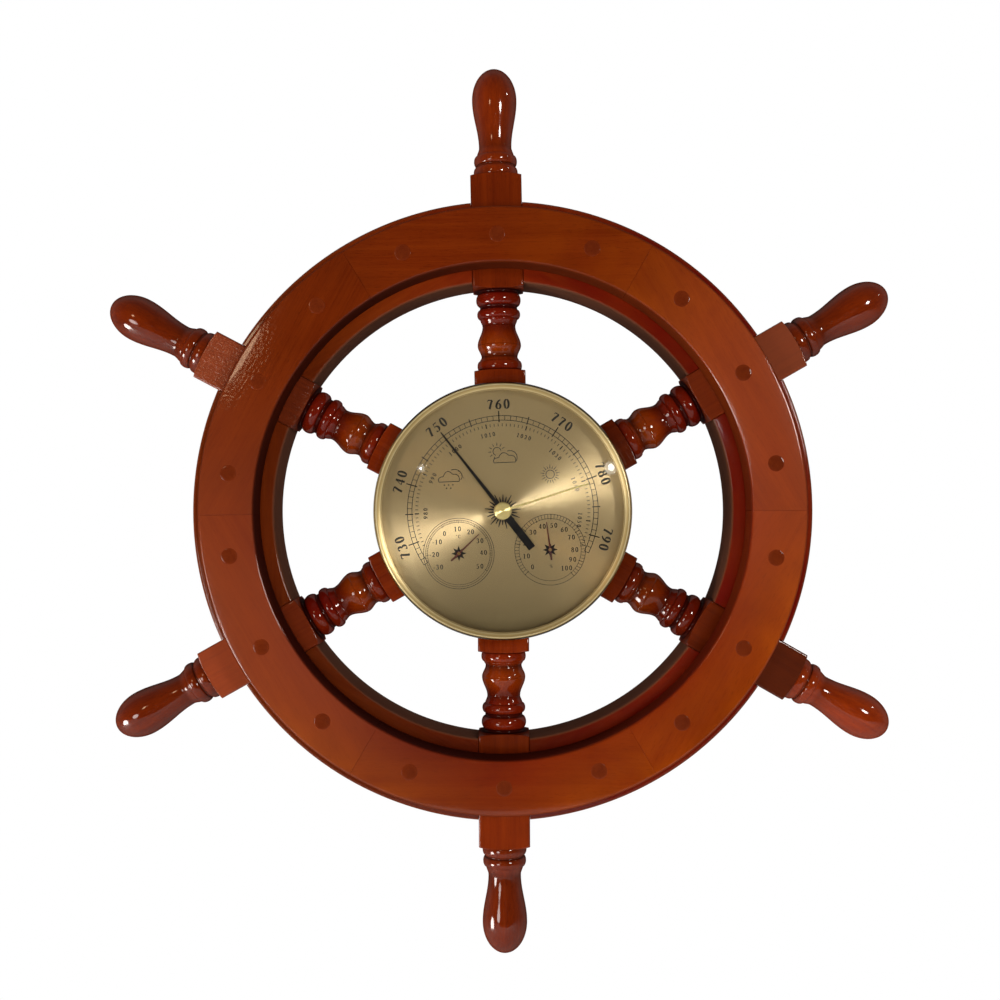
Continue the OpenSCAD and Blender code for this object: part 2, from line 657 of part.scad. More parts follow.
// Bent leaf spring over the capsule, with the pin that lifts the rocker
module main_spring() color("#8a8f94") {
    tip_x = rocker_x - 3.6;
    end_x = spring_x + tip_x + 1;
    translate([-spring_x, leaf_w / 2, 0]) rotate([90, 0, 0]) linear_extrude(height = leaf_w) polygon([
        [0, back_top_z], [8, back_top_z], [8, back_top_z + leaf_t], [leaf_t, back_top_z + leaf_t],
        [leaf_t, leaf_z], [end_x, leaf_z], [end_x, leaf_z + leaf_t], [0, leaf_z + leaf_t]]);
    translate([tip_x, 0, leaf_z + leaf_t / 2])
        cylinder(r = 0.7, h = rocker_z - 0.6 - 0.1 - leaf_z - leaf_t / 2);
}

// Rocking shaft with a short arm over the spring's pin and a tall finger beside the sector's tail
module rocker() color(gold) {
    front = rocker_front_y + 1.4;
    back = rocker_back_y - 1.4;
    translate([rocker_x, front, rocker_z]) rotate([90, 0, 0])
        cylinder(r = rocker_r, h = front - back);
    translate([rocker_x, 0, rocker_z]) rotate([0, -90, 0]) cylinder(r = 0.6, h = 4.6);
    translate([rocker_x, finger_y, rocker_z]) cylinder(r = finger_r, h = finger_l);
}

// Angle of an involute at radius r, for base radius b
function inv(r, b) = r <= b ? 0 : tan(acos(b / r)) * 180 / PI - acos(b / r);
pressure = 25;
backlash = 0.1;
// Flank and tip of a tooth whose middle points along a, from one root to the other
function tooth(a, n) =
    let (rp = tooth_m * n / 2, rb = rp * cos(pressure), tip = rp + 0.7 * tooth_m,
        root = rp - 0.92 * tooth_m, half = 90 / n - backlash / 2 / rp * 180 / PI / 2 + inv(rp, rb),
        start = max(rb, root),
        side = concat(root < rb ? [[root, half]] : [],
            [for (i = [0:4]) let (r = start + (tip - start) * i / 4) [r, half - inv(r, rb)]]))
    concat([for (p = side) p[0] * [cos(a - p[1]), sin(a - p[1])]],
        [for (p = reversed(side)) p[0] * [cos(a + p[1]), sin(a + p[1])]]);

// Toothed sector on its arbor, with a tail for the rocker's finger
module sector_gear() color(gold) translate([sector_x, sector_y, 0]) {
    to_pinion = sector_dir + 180;
    step = 360 / sector_n;
    first = -7;
    last = 4;
    root = sector_pitch_r - 0.92 * tooth_m;
    tail_x = rocker_x - finger_r - 0.35 - 1.2 - sector_x;
    tail_y = finger_y - sector_y;
    translate([0, 0, sector_z]) linear_extrude(height = sector_t) {
        difference() {
            polygon(concat([[0, 0]],
                [for (k = [first:last], p = tooth(to_pinion + (k + 0.5) * step, sector_n)) p]));
            polygon([for (q = [[8, first + 3], [root - 3, first + 1.4], [root - 3, (first + last) / 2],
                [root - 3, last - 0.4], [8, last - 2]])
                q[0] * [cos(to_pinion + (q[1] + 0.5) * step), sin(to_pinion + (q[1] + 0.5) * step)]]);
        }
        circle(r = 3);
        translate([tail_x, tail_y]) circle(r = 1.2);
        polygon([[-1, 0], [1, 0], [tail_x + 1, tail_y], [tail_x - 1, tail_y]]);
    }
    translate([0, 0, back_z]) cylinder(r = arbor_r, h = front_plate_top_z - back_z);
    translate([0, 0, sector_z - 1]) cylinder(r = 1.6, h = 1.2);
}

// Arbor of the barometer hand, with its pinion
module baro_arbor() color(gold) {
    translate([0, 0, cock_z]) cylinder(r = arbor_r, h = baro_hand_z + 2 * hand_t - cock_z);
    translate([0, 0, pinion_z]) linear_extrude(height = pinion_face)
        polygon([for (k = [0:pinion_n - 1], p = tooth(sector_dir + k * 360 / pinion_n, pinion_n)) p]);
}

// Strap under the pinion that carries the arbor's lower pivot
module arbor_cock() color(gold) rotate(sector_dir + 90) difference() {
    union() {
        translate([-11, -2.5, cock_z]) cube([22, 11, cock_t]);
        for (x = [-9.5, 9.5]) translate([x, 6.5, cock_z + cock_t / 2])
            cylinder(r = 1.3, h = front_plate_z - cock_z - cock_t / 2);
    }
    translate([0, 0, cock_z - 1]) cylinder(r = arbor_r + run, h = cock_t + 2);
}

// Spiral strip of thickness t, from radius r0 to r1
module spiral(r0, r1, turns, t) {
    n = 20 * turns;
    inner = [for (i = [0:n]) let (r = r0 + (r1 - r0) * i / n, a = 360 * turns * i / n)
        (r - t / 2) * [cos(a), sin(a)]];
    outer = [for (i = [0:n]) let (r = r0 + (r1 - r0) * i / n, a = 360 * turns * i / n)
        (r + t / 2) * [cos(a), sin(a)]];
    polygon(concat(outer, reversed(inner)));
}

hairspring_r = 7;

// Hairspring that keeps the chain of levers taut, with its stud on the front plate
module hairspring() color("#8a8f94") rotate(sector_dir + 180) {
    translate([0, 0, hairspring_z]) linear_extrude(height = hairspring_w)
        spiral(arbor_r + run + 0.15, hairspring_r, 5, 0.25);
    translate([hairspring_r, 0, hairspring_z])
        cylinder(r = 0.5, h = front_plate_z - hairspring_z);
}

// Screw through the case's floor that tilts the main spring
module adjusting_screw() color(gold) translate([adjuster_x, 0, 0]) difference() {
    union() {
        translate([0, 0, case_z - 1.2]) cylinder(r = 3, h = 1.2 - lay);
        translate([0, 0, case_z - 0.6]) cylinder(r = adjuster_r, h = back_top_z - lay - case_z + 0.6);
    }
    translate([-3.5, -0.4, case_z - 2]) cube([7, 0.8, 1.4]);
}

// Flat hand that points along +X
module hand(reach, tail, root_w, tip_w, tail_w, boss_r, boss_t, z, bore) translate([0, 0, z])
    difference() {
        union() {
            linear_extrude(height = hand_t) polygon([[-tail, -tail_w / 2], [-boss_r / 2, -tail_w / 2],
                [0, -root_w / 2], [reach, -tip_w / 2], [reach, tip_w / 2], [0, root_w / 2],
                [-boss_r / 2, tail_w / 2], [-tail, tail_w / 2]]);
            cylinder(r = boss_r, h = boss_t);
        }
        translate([0, 0, -1]) cylinder(r = bore, h = boss_t + 2);
    }

module baro_hand() color("#151515") rotate(baro_rest)
    hand(baro_reach, baro_tail, 2, 0.75, baro_tail_w, 2.2, 2 * hand_t, baro_hand_z, arbor_r + peg_fit);

// Set hand, on the lower end of the knob's stem
module set_hand() color(gold) rotate(set_angle)
    hand(set_reach, 3, 1.1, 0.7, 1, 1.9, 2 * hand_t, set_hand_z, stem_r + peg_fit);

// Domed knob with its stem
module set_knob() color(gold) {
    top = knob_z + knob_h;
    rotate_extrude() polygon([[0, set_hand_z], [stem_r, set_hand_z], [stem_r, knob_z],
        [knob_r - 0.5, knob_z], [knob_r, knob_z + 0.5], [knob_r, top - 0.7], [knob_r - 0.6, top - 0.1],
        [knob_r - 1.5, top], [0, top]]);
}

// Two brackets under the dial, each carries the arbor of a small hand
module coil_brackets() color(gold) for (x = [-small_x, small_x]) translate([x, -small_y, 0])
    difference() {
        union() {
            translate([-bracket_half, -2.5, bracket_z]) cube([2 * bracket_half, 5, bracket_t]);
            for (s = [-1, 1]) {
                translate([s * (bracket_half - bracket_t / 2) - bracket_t / 2, -2.5, bracket_z])
                    cube([bracket_t, 5, dial_z - lay - bracket_z]);
                translate([s * (bracket_half - 1.2) - 1.2, -2.5, dial_z - lay - bracket_t])
                    cube([2.4, 5, bracket_t]);
            }
        }
        translate([0, 0, bracket_z - 1]) cylinder(r = arbor_r + run, h = bracket_t + 2);
    }

module small_arbor() color(gold)
    translate([0, 0, small_arbor_z]) cylinder(r = arbor_r, h = small_hand_z + 2 * hand_t - small_arbor_z);

module coil() color("#b08d57") {
    reach = bracket_half - bracket_t - coil_r;
    translate([0, 0, coil_z]) linear_extrude(height = coil_w) {
        spiral(arbor_r + run + 0.3, coil_r, 4, 0.5);
        translate([coil_r - 0.2, -0.6]) square([reach + 0.2 - lay, 0.5]);
    }
}

module small_hand(a) color("#6a2a1c") rotate(a)
    hand(small_reach, small_tail, 0.9, 0.4, 0.9, 1.1, 2 * hand_t, small_hand_z, arbor_r + peg_fit);

module thermo_place() stand() rotate(dial_turn) translate([-small_x, -small_y, 0]) children();
module hygro_place() stand() rotate(dial_turn) translate([small_x, -small_y, 0]) children();
module instrument() stand() rotate(dial_turn) children();

stand() front_felloe(0);  // front_felloe_1
stand() front_felloe(1);  // front_felloe_2
stand() front_felloe(2);  // front_felloe_3
stand() front_felloe(3);  // front_felloe_4
stand() front_felloe(4);  // front_felloe_5
stand() front_felloe(5);  // front_felloe_6
stand() middle_felloe(0);  // middle_felloe_1
stand() middle_felloe(1);  // middle_felloe_2
stand() middle_felloe(2);  // middle_felloe_3
stand() middle_felloe(3);  // middle_felloe_4
stand() middle_felloe(4);  // middle_felloe_5
stand() middle_felloe(5);  // middle_felloe_6
stand() rear_felloe(0);  // rear_felloe_1
stand() rear_felloe(1);  // rear_felloe_2
stand() rear_felloe(2);  // rear_felloe_3
stand() rear_felloe(3);  // rear_felloe_4
stand() rear_felloe(4);  // rear_felloe_5
stand() rear_felloe(5);  // rear_felloe_6
stand() spoke(0);  // spoke_1
stand() spoke(1);  // spoke_2
stand() spoke(2);  // spoke_3
stand() spoke(3);  // spoke_4
stand() spoke(4);  // spoke_5
stand() spoke(5);  // spoke_6
stand() spoke_pegs();
stand() felloe_pegs();
stand() hub_body();
stand() hub_screws();
stand() hanger_plate();
stand() hanger_screws();
instrument() case_cup();
instrument() grip_ring();
instrument() bezel();
instrument() glass();
instrument() glass_gasket();
instrument() glass_bush();
instrument() spacer_ring();
instrument() dial_plate();
instrument() back_plate();
instrument() front_plate();
instrument() pillars();
instrument() aneroid_capsule();
instrument() main_spring();
instrument() rocker();
instrument() sector_gear();
instrument() baro_arbor();
instrument() arbor_cock();
instrument() hairspring();
instrument() baro_hand();
instrument() adjusting_screw();
instrument() set_knob();
instrument() set_hand();
instrument() coil_brackets();
thermo_place() small_arbor();  // thermo_arbor
thermo_place() coil();  // thermo_coil
thermo_place() small_hand(thermo_angle);  // thermo_hand
hygro_place() small_arbor();  // hygro_arbor
hygro_place() coil();  // hygro_coil
hygro_place() small_hand(hygro_angle);  // hygro_hand
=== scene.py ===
"""Looks of a wall weather station in a ship's wheel: lacquered wood, brass, glass and a printed dial."""
import math

import bmesh
import bpy
import numpy as np
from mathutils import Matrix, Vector


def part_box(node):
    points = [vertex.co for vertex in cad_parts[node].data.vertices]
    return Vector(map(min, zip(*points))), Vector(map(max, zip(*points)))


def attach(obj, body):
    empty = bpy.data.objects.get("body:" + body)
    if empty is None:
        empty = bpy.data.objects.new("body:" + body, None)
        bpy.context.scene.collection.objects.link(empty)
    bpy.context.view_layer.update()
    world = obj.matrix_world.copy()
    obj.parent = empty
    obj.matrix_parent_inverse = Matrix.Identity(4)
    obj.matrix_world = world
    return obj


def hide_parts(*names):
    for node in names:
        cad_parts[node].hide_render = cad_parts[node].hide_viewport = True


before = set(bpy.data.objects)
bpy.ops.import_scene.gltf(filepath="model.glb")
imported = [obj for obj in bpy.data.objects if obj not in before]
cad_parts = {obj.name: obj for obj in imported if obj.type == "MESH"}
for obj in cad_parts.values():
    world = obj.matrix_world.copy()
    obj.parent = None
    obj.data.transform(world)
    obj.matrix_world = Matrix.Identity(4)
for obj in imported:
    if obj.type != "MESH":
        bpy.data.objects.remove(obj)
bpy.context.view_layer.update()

mm = 0.001


# Places taken from the frame

def points_of(obj):
    """Points of a piece's mesh, in millimetres."""
    co = np.zeros(len(obj.data.vertices) * 3)
    obj.data.vertices.foreach_get("co", co)
    return co.reshape(-1, 3) / mm


def reach(node):
    """Least and greatest distance of a CAD node's points from the wheel's axis."""
    co = points_of(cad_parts[node])
    away = np.hypot(co[:, 0], co[:, 2])
    return away.min(), away.max()


def depth(node):
    """How far a node's back and its front stand out from the wall."""
    lo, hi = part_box(node)
    return -hi.y / mm, -lo.y / mm


def middle(node):
    """Middle of a node's box, seen from the front."""
    lo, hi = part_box(node)
    return (lo.x + hi.x) / 2 / mm, (lo.z + hi.z) / 2 / mm


def spoke_angle(node):
    """Direction of a spoke: the tip of its handle is its farthest point."""
    co = points_of(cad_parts[node])
    tip = co[np.argmax(np.hypot(co[:, 0], co[:, 2]))]
    return math.atan2(tip[2], tip[0]) % math.tau


SPOKES = [f"spoke_{i}" for i in range(1, 7)]
spoke_at = [spoke_angle(node) for node in SPOKES]
ring_in_r, ring_out_r = reach("front_felloe_1")
felloe_in_r, felloe_out_r = reach("middle_felloe_1")
front_depth = depth("front_felloe_1")
front_face = front_depth[1]
middle_depth = depth("middle_felloe_1")
rear_depth = depth("rear_felloe_1")
spoke_root_r, tip_r = reach("spoke_1")
bar_back, bar_front = depth("spoke_2")
bar = bar_front - bar_back
bar_axis = (bar_front + bar_back) / 2
hub_r = reach("hub_body")[1]
peg_back, peg_top = depth("spoke_pegs")
bezel_r = reach("bezel")[1]
bezel_back, bezel_top = depth("bezel")
dial_back, dial_face = depth("dial_plate")
insert_r = reach("dial_plate")[1]
knob_base, knob_top = depth("set_knob")
thermo_x, thermo_y = middle("thermo_arbor")
hygro_x, hygro_y = middle("hygro_arbor")
dial_turn = math.atan2(hygro_y - thermo_y, hygro_x - thermo_x)
small_x = math.hypot(hygro_x - thermo_x, hygro_y - thermo_y) / 2
small_y = -math.hypot(hygro_x + thermo_x, hygro_y + thermo_y) / 2

# Sizes of the finished surfaces, in millimetres
seam = 0.1
ease_r = 1.4
bar_ease = 1.0
peg_r = 4.0
peg_circle_r = 136.4
peg_step = math.radians(20)
glass_lip_r = 59.5
glass_seat_r = 62.0
ink_base = dial_face + 0.004
ink_top = dial_face + 0.04

# How bright each piece shows in the photograph, by its stain and by painted light and shade of the room,
# and how much painted sheen it has, 1 to 6
rim_block_tone = [0.43, 0.57, 0.58, 0.72, 0.71, 0.26]
rim_block_painted_sheen = [0.24, 0.0, 0.2, 0.19, 0.0, 0.05]
inner_block_share = [1.45, 1.0, 0.72, 0.83, 0.68, 1.7]
hub_block_tone = [0.36, 0.68, 0.83, 0.78, 0.68, 0.42]
handle_tone = [0.62, 0.68, 0.6, 0.52, 0.58, 0.98]
belly_tone = [0.7, 0.77, 0.79, 0.78, 0.83, 0.52]
front_tone = [1.0, 0.96, 0.97, 1.02, 0.98, 1.02]
middle_tone = [1.0, 0.95, 0.95, 0.9, 0.95, 1.0]
brushed_spoke = 2


def place(x, y, out):
    """Point of the room for a point seen from the front, out from the wall."""
    return (x * mm, -out * mm, y * mm)


def polar(r, a, x=0.0, y=0.0):
    """Point at radius r and angle a round a centre."""
    return x + r * math.cos(a), y + r * math.sin(a)


# Node trees

def reckoned(tree, operation, terms, clamp=False):
    """Math node over these terms, which are values or plain numbers."""
    node = tree.nodes.new("ShaderNodeMath")
    node.operation = operation
    node.use_clamp = clamp
    for slot, term in zip(node.inputs, terms):
        if isinstance(term, Value):
            tree.links.new(term.socket, slot)
        else:
            slot.default_value = term
    return Value(tree, node.outputs[0])


class Value:
    """A socket that adds Math nodes to its tree when it is reckoned with."""

    def __init__(self, tree, socket):
        self.tree = tree
        self.socket = socket

    def math(self, operation, *terms, clamp=False):
        return reckoned(self.tree, operation, (self, *terms), clamp)

    def __add__(self, other):
        return self.math("ADD", other)

    def __radd__(self, other):
        return self.math("ADD", other)

    def __sub__(self, other):
        return self.math("SUBTRACT", other)

    def __rsub__(self, other):
        return reckoned(self.tree, "SUBTRACT", (other, self))

    def __mul__(self, other):
        return self.math("MULTIPLY", other)

    def __rmul__(self, other):
        return self.math("MULTIPLY", other)

    def __truediv__(self, other):
        return self.math("DIVIDE", other)

    def __pow__(self, other):
        return self.math("POWER", other)

    def sine(self):
        return self.math("SINE")

    def cosine(self):
        return self.math("COSINE")

    def arcsine(self):
        return self.math("ARCSINE")

    def greater_of(self, other):
        return self.math("MAXIMUM", other)

    def clamped(self):
        return self.math("ADD", 0.0, clamp=True)


def input_of(node, key):
    """A node's input: by its number, its identifier, or else its name."""
    if isinstance(key, int):
        return node.inputs[key]
    return next((slot for slot in node.inputs if slot.identifier == key), None) or node.inputs[key]


def set_stops(ramp, stops):
    while len(ramp.elements) < len(stops):
        ramp.elements.new(1.0)
    for element, (position, colour) in zip(ramp.elements, stops):
        element.position = position
        element.color = colour


class Tree:
    """A node tree under construction."""

    def __init__(self, tree):
        self.tree = tree

    def node(self, kind, settings=None, sockets=None):
        """Adds a node: its settings first, then the values or links of its sockets."""
        node = self.tree.nodes.new(kind)
        for key, value in (settings or {}).items():
            if key == "stops":
                set_stops(node.color_ramp, value)
            else:
                setattr(node, key, value)
        for key, value in (sockets or {}).items():
            slot = input_of(node, key)
            if isinstance(value, Value):
                self.tree.links.new(value.socket, slot)
            elif isinstance(value, bpy.types.NodeSocket):
                self.tree.links.new(value, slot)
            else:
                slot.default_value = value
        return node

    def value(self, socket):
        return Value(self.tree, socket)

    def vector(self, x, y, z):
        return self.node("ShaderNodeCombineXYZ", sockets={0: x, 1: y, 2: z}).outputs[0]

    def parts(self, vector):
        """The three numbers of a vector."""
        split = self.node("ShaderNodeSeparateXYZ", sockets={0: vector})
        return [self.value(out) for out in split.outputs]

    def blend(self, share, first, second):
        """First shader where share is 0, second where it is 1."""
        return self.node("ShaderNodeMixShader", sockets={0: share, 1: first, 2: second}).outputs[0]


class Finish(Tree):
    """A material under construction."""

    def __init__(self, name):
        self.material = bpy.data.materials.new(name)
        self.material.use_nodes = True
        super().__init__(self.material.node_tree)
        self.tree.nodes.clear()

    def object_place(self):
        return self.node("ShaderNodeTexCoord").outputs["Object"]

    def attribute(self, name):
        return self.node("ShaderNodeAttribute", {"attribute_name": name})

    def number(self, name):
        """Attribute that holds one number a point."""
        return self.value(self.attribute(name).outputs["Fac"])

    def stretched(self, vector, scale):
        return self.node("ShaderNodeMapping", sockets={"Vector": vector, "Scale": scale}).outputs[0]

    def noise(self, vector, scale=1.0, detail=3.0, rough=0.5, distortion=0.0):
        """Noise, finer with a greater scale: one number, or one for each direction."""
        if isinstance(scale, tuple):
            vector = self.stretched(vector, scale)
            scale = 1.0
        return self.value(self.node("ShaderNodeTexNoise", sockets={
            "Vector": vector, "Scale": scale, "Detail": detail, "Roughness": rough,
            "Distortion": distortion}).outputs["Fac"])

    def ramp(self, value, low, high):
        """0 below low, 1 above high."""
        return self.value(self.node("ShaderNodeMapRange", {"interpolation_type": "SMOOTHSTEP"}, {
            "Value": value, "From Min": low, "From Max": high}).outputs[0])

    def mix(self, factor, first, second, blend="MIX"):
        node = self.node("ShaderNodeMix", {"data_type": "RGBA", "blend_type": blend}, {
            "Factor_Float": factor, "A_Color": first, "B_Color": second})
        return next(out for out in node.outputs if out.identifier == "Result_Color")

    def bump(self, height, distance):
        return self.node("ShaderNodeBump", sockets={"Height": height, "Distance": distance}).outputs[0]

    def edge_of_sight(self):
        """0 where the surface faces the eye, 1 where it turns away. For gloss only."""
        return self.value(self.node("ShaderNodeLayerWeight", sockets={"Blend": 0.5}).outputs["Facing"])

    def shader(self, **sockets):
        """The main shader, its sockets named with underscores for spaces."""
        named = {key.replace("_", " "): value for key, value in sockets.items()}
        return self.node("ShaderNodeBsdfPrincipled", sockets=named).outputs[0]

    def done(self, surface):
        self.node("ShaderNodeOutputMaterial", sockets={"Surface": surface})
        return self.material


def rgb(r, g, b):
    """Colour as a picture shows it, 0 to 255, as the light that a shader takes."""
    def linear(c):
        c = c / 255
        return c / 12.92 if c <= 0.04045 else ((c + 0.055) / 1.055) ** 2.4
    return (linear(r), linear(g), linear(b), 1.0)


def grey(strength):
    """Neutral light of one strength."""
    return (strength, strength, strength, 1)


# Materials

# What the wood's finish reads at each point: how dark it is with stain and painted shade, how glossy, how
# bright, partly by painted light and shade, how bare with a painted reflection, how unevenly lacquered, how
# much painted sheen, golden and red
PLAIN_WOOD = {"stain": 0.1, "gloss": 1.0, "tone": 1.0, "bare": 0.0, "ripple": 1.0, "haze": 0.0,
              "gold": 0.0, "red": 0.0}
HUB_WOOD = PLAIN_WOOD | {"stain": 0.25, "gloss": 0.6, "tone": 0.9}


def wood_finish(name, light, dark, deep, even=None):
    """Red-brown lacquer over straight-grained wood. A piece brings its grain's own coordinates and
    its numbers at each point, unless even gives one set of numbers for all of it."""
    golden = rgb(176, 84, 5)
    crimson = rgb(112, 14, 5)
    painted_lamp_sheen = rgb(184, 104, 72)
    bare_reflection_light = rgb(92, 64, 48)
    bare_reflection_dark = rgb(70, 44, 30)
    f = Finish(name)
    grain = f.object_place() if even else f.attribute("grain").outputs["Vector"]
    stain, gloss, tone, bare, ripple, haze, gold, red = (
        even[key] if even else f.number(key) for key in PLAIN_WOOD)
    wander = f.noise(grain, (9, 30, 30), detail=2.0)
    bands = f.noise(grain, (7, 260, 260), distortion=0.6)
    streaks = f.noise(grain, (22, 900, 900), detail=4.0, rough=0.6)
    fibres = f.noise(grain, (110, 5200, 5200), detail=2.0, rough=0.7)
    pores = f.ramp(f.noise(grain, (260, 3600, 3600), detail=1.0), 0.62, 0.7)
    blotch = f.noise(grain, (22, 34, 34), rough=0.55)
    cloudy = f.noise(grain, (20, 30, 30), distortion=0.8)
    figure = (bands * 0.7 + streaks * 0.7 + fibres * 0.4 - 0.9) * 1.5 + wander * 0.6 + 0.2
    base = f.mix(figure.clamped() * 0.8 + 0.05, dark, light)
    # Gold: golden patches, which are painted light where a spoke's belly catches the lamps
    base = f.mix((gold * (cloudy * 4.0 - 1.2)).clamped(), base, golden)
    base = f.mix((red * (cloudy * 2.0)).clamped(), base, crimson)
    base = f.mix(f.ramp(blotch, 0.35, 0.75) * 0.35, base, f.mix(0.6, base, deep))
    base = f.mix(pores * 0.3, base, deep)
    # Darker towards deep by stain, and by painted shade where a piece carries it in grooves, walls and
    # corners
    base = f.mix(stain, base, deep)
    # Tone: each piece's brightness, partly its stain and partly painted light and shade
    base = f.mix(1.0, base, f.vector(tone, tone, tone), "MULTIPLY")
    # Painted sheen: a milky colour where lamps would show a broad reflection in the lacquer
    base = f.mix(haze, base, painted_lamp_sheen)
    # Bare wood with a greyish cast, painted for the glancing reflection of the pale room on the walls
    base = f.mix(bare, base, f.mix(figure.clamped(), bare_reflection_light, bare_reflection_dark))
    brush = f.noise(grain, (260, 900, 900), detail=2.0)
    across = f.noise(grain, (900, 300, 900), detail=2.0)
    peel = f.noise(grain, 620.0, detail=1.0)
    relief = (brush * 0.4 + across * 0.3 + peel * 0.3) * ripple
    dull = f.shader(Base_Color=base, Roughness=0.8, Specular_IOR_Level=0.05)
    shiny = f.shader(
        Base_Color=base, Roughness=0.06 + brush * 0.06, Normal=f.bump(relief, 0.00004),
        Specular_IOR_Level=0.3, Coat_Weight=0.6, Coat_Roughness=0.04, Coat_IOR=1.4,
        Coat_Tint=(1.0, 0.82, 0.7, 1))
    share = gloss if even else gloss * (1.0 - f.ramp(f.edge_of_sight(), 0.35, 0.8))
    return f.done(f.blend(share, dull, shiny))


def metal_finish(name, colour, worn, roughness, metallic=1.0):
    """Metal with faint clouding and fine random scratches."""
    f = Finish(name)
    at = f.object_place()
    cloud = f.noise(at, 90.0, detail=4.0)
    fine = f.noise(at, 1400.0, detail=2.0)
    base = f.mix(f.ramp(cloud, 0.35, 0.75) * 0.6, colour, worn)
    rough = roughness + (cloud - 0.5) * 0.12 + (fine - 0.5) * 0.03
    return f.done(f.shader(
        Base_Color=base, Roughness=rough, Metallic=metallic, Normal=f.bump(fine, 0.000008)))


def turned_normal(f, at, lean_most, pitch=0.00004):
    """Distance from the axis, height above it, and a normal that leans in and out across each fine
    turned ring, so that a lamp draws a bright fan across the metal."""
    x, _, height = f.parts(at)
    radius = (x * x + height * height) ** 0.5
    lean = (radius * (math.tau / pitch)).sine() * lean_most / (radius + 0.00001)
    aside = f.vector(x * lean, 0.0, height * lean)
    plain = f.node("ShaderNodeNewGeometry").outputs["Normal"]
    both = f.node("ShaderNodeVectorMath", {"operation": "ADD"}, {0: plain, 1: aside}).outputs[0]
    normal = f.node("ShaderNodeVectorMath", {"operation": "NORMALIZE"}, {0: both}).outputs[0]
    return radius, height, normal


def bezel_finish():
    """Pale polished brass, turned: fine rings run round it, with painted highlight and shade in rings
    across it. Its outer edge has painted shade at the top and bottom, and it has painted shade below, as
    the photograph shows it."""
    painted_rim_shade = rgb(34, 27, 12)
    lower_shade = rgb(110, 88, 48)
    f = Finish("polished_brass")
    at = f.object_place()
    radius, height, normal = turned_normal(f, at, 0.14)
    # Rings of painted highlight and painted shade across the profile, by distance from the axis
    bands = f.node("ShaderNodeValToRGB", {"stops": [
        (0.0, rgb(196, 172, 122)), (0.1, rgb(118, 94, 52)), (0.17, rgb(214, 192, 140)),
        (0.34, rgb(190, 164, 110)), (0.5, rgb(168, 142, 88)), (0.62, rgb(232, 212, 164)),
        (0.74, rgb(176, 148, 92)), (1.0, rgb(150, 124, 72))]}, {
            0: (radius - glass_lip_r * mm) / (4.2 * mm)}).outputs[0]
    cloud = f.noise(at, 70.0)
    base = f.mix(f.ramp(cloud, 0.3, 0.75) * 0.3, bands, rgb(180, 150, 92))
    # Painted shade on the outer edge at the top and bottom
    off_level = f.ramp(height * height, 0.0004, 0.002)
    base = f.mix(f.ramp(radius, 62.4 * mm, 63.0 * mm) * off_level, base, painted_rim_shade)
    base = f.mix(f.ramp(height * -1.0, 0.0, 60 * mm) * 0.1, base, lower_shade)
    return f.done(f.shader(
        Base_Color=base, Roughness=0.22 + cloud * 0.05, Metallic=0.6, Normal=normal))


def knob_finish():
    """Turned brass knob."""
    f = Finish("turned_brass")
    at = f.object_place()
    normal = turned_normal(f, at, 0.36, 0.00001)[2]
    base = f.mix(f.noise(at, 300.0), rgb(226, 206, 138), rgb(208, 186, 116))
    return f.done(f.shader(Base_Color=base, Roughness=0.24, Metallic=0.65, Normal=normal))


def dial_finish():
    """Pale gold plate, brushed in circles. It is darker in its lower middle, as the photograph
    shows it."""
    lower_shade = rgb(116, 99, 66)
    f = Finish("gold_dial")
    at = f.object_place()
    radius, height, normal = turned_normal(f, at, 0.33)
    cloud = f.noise(at, 26.0)
    base = f.mix(f.ramp(cloud, 0.3, 0.75) * 0.3, rgb(177, 152, 110), rgb(166, 140, 99))
    off_centre = f.ramp(radius * radius - height * height, 0.0001, 0.0014)
    lower = f.ramp(height * -1.0, 10 * mm, 55 * mm) * (1.0 - off_centre * 0.6)
    base = f.mix(lower * 0.6, base, lower_shade)
    return f.done(f.shader(
        Base_Color=base, Roughness=0.22 + cloud * 0.03, Metallic=0.5, Normal=normal))


def glass_finish():
    """Clear flat glass: what lies behind it, and a mirror that grows towards the edge of sight."""
    f = Finish("clear_glass")
    clear = f.node("ShaderNodeBsdfTransparent", sockets={"Color": (0.965, 0.975, 0.965, 1)}).outputs[0]
    mirror = f.node("ShaderNodeBsdfGlossy", sockets={"Color": grey(1), "Roughness": 0.02}).outputs[0]
    straight = 0.035
    return f.done(f.blend(straight + (1 - straight) * f.edge_of_sight() ** 5.0, clear, mirror))


def paint_finish(name, colour, second, roughness, scale=300.0):
    """Smooth paint, ink or rubber with a faint unevenness."""
    f = Finish(name)
    cloud = f.noise(f.object_place(), scale)
    base = f.mix(f.ramp(cloud, 0.35, 0.7), colour, second)
    return f.done(f.shader(
        Base_Color=base, Roughness=roughness + (cloud - 0.5) * 0.1, Normal=f.bump(cloud, 0.00001)))


lacquered_wood = wood_finish("lacquered_wood", rgb(156, 66, 14), rgb(118, 38, 3), rgb(52, 8, 2))
turned_wood = wood_finish("turned_lacquered_wood", rgb(156, 58, 10), rgb(112, 32, 4), rgb(26, 1, 1))
hub_wood = wood_finish("hub_wood", rgb(120, 46, 14), rgb(84, 24, 8), rgb(34, 6, 4), even=HUB_WOOD)
peg_wood = wood_finish("peg_wood", rgb(122, 48, 12), rgb(96, 30, 5), rgb(48, 12, 6))
polished_brass = bezel_finish()
turned_brass = knob_finish()
gold_dial = dial_finish()
clear_glass = glass_finish()
brass = metal_finish("brass", rgb(206, 170, 96), rgb(178, 138, 68), 0.3)
pale_brass = metal_finish("pale_brass", rgb(236, 212, 146), rgb(214, 188, 120), 0.36, metallic=0.4)
tinplate = metal_finish("tinplate", rgb(186, 186, 182), rgb(150, 150, 148), 0.36)
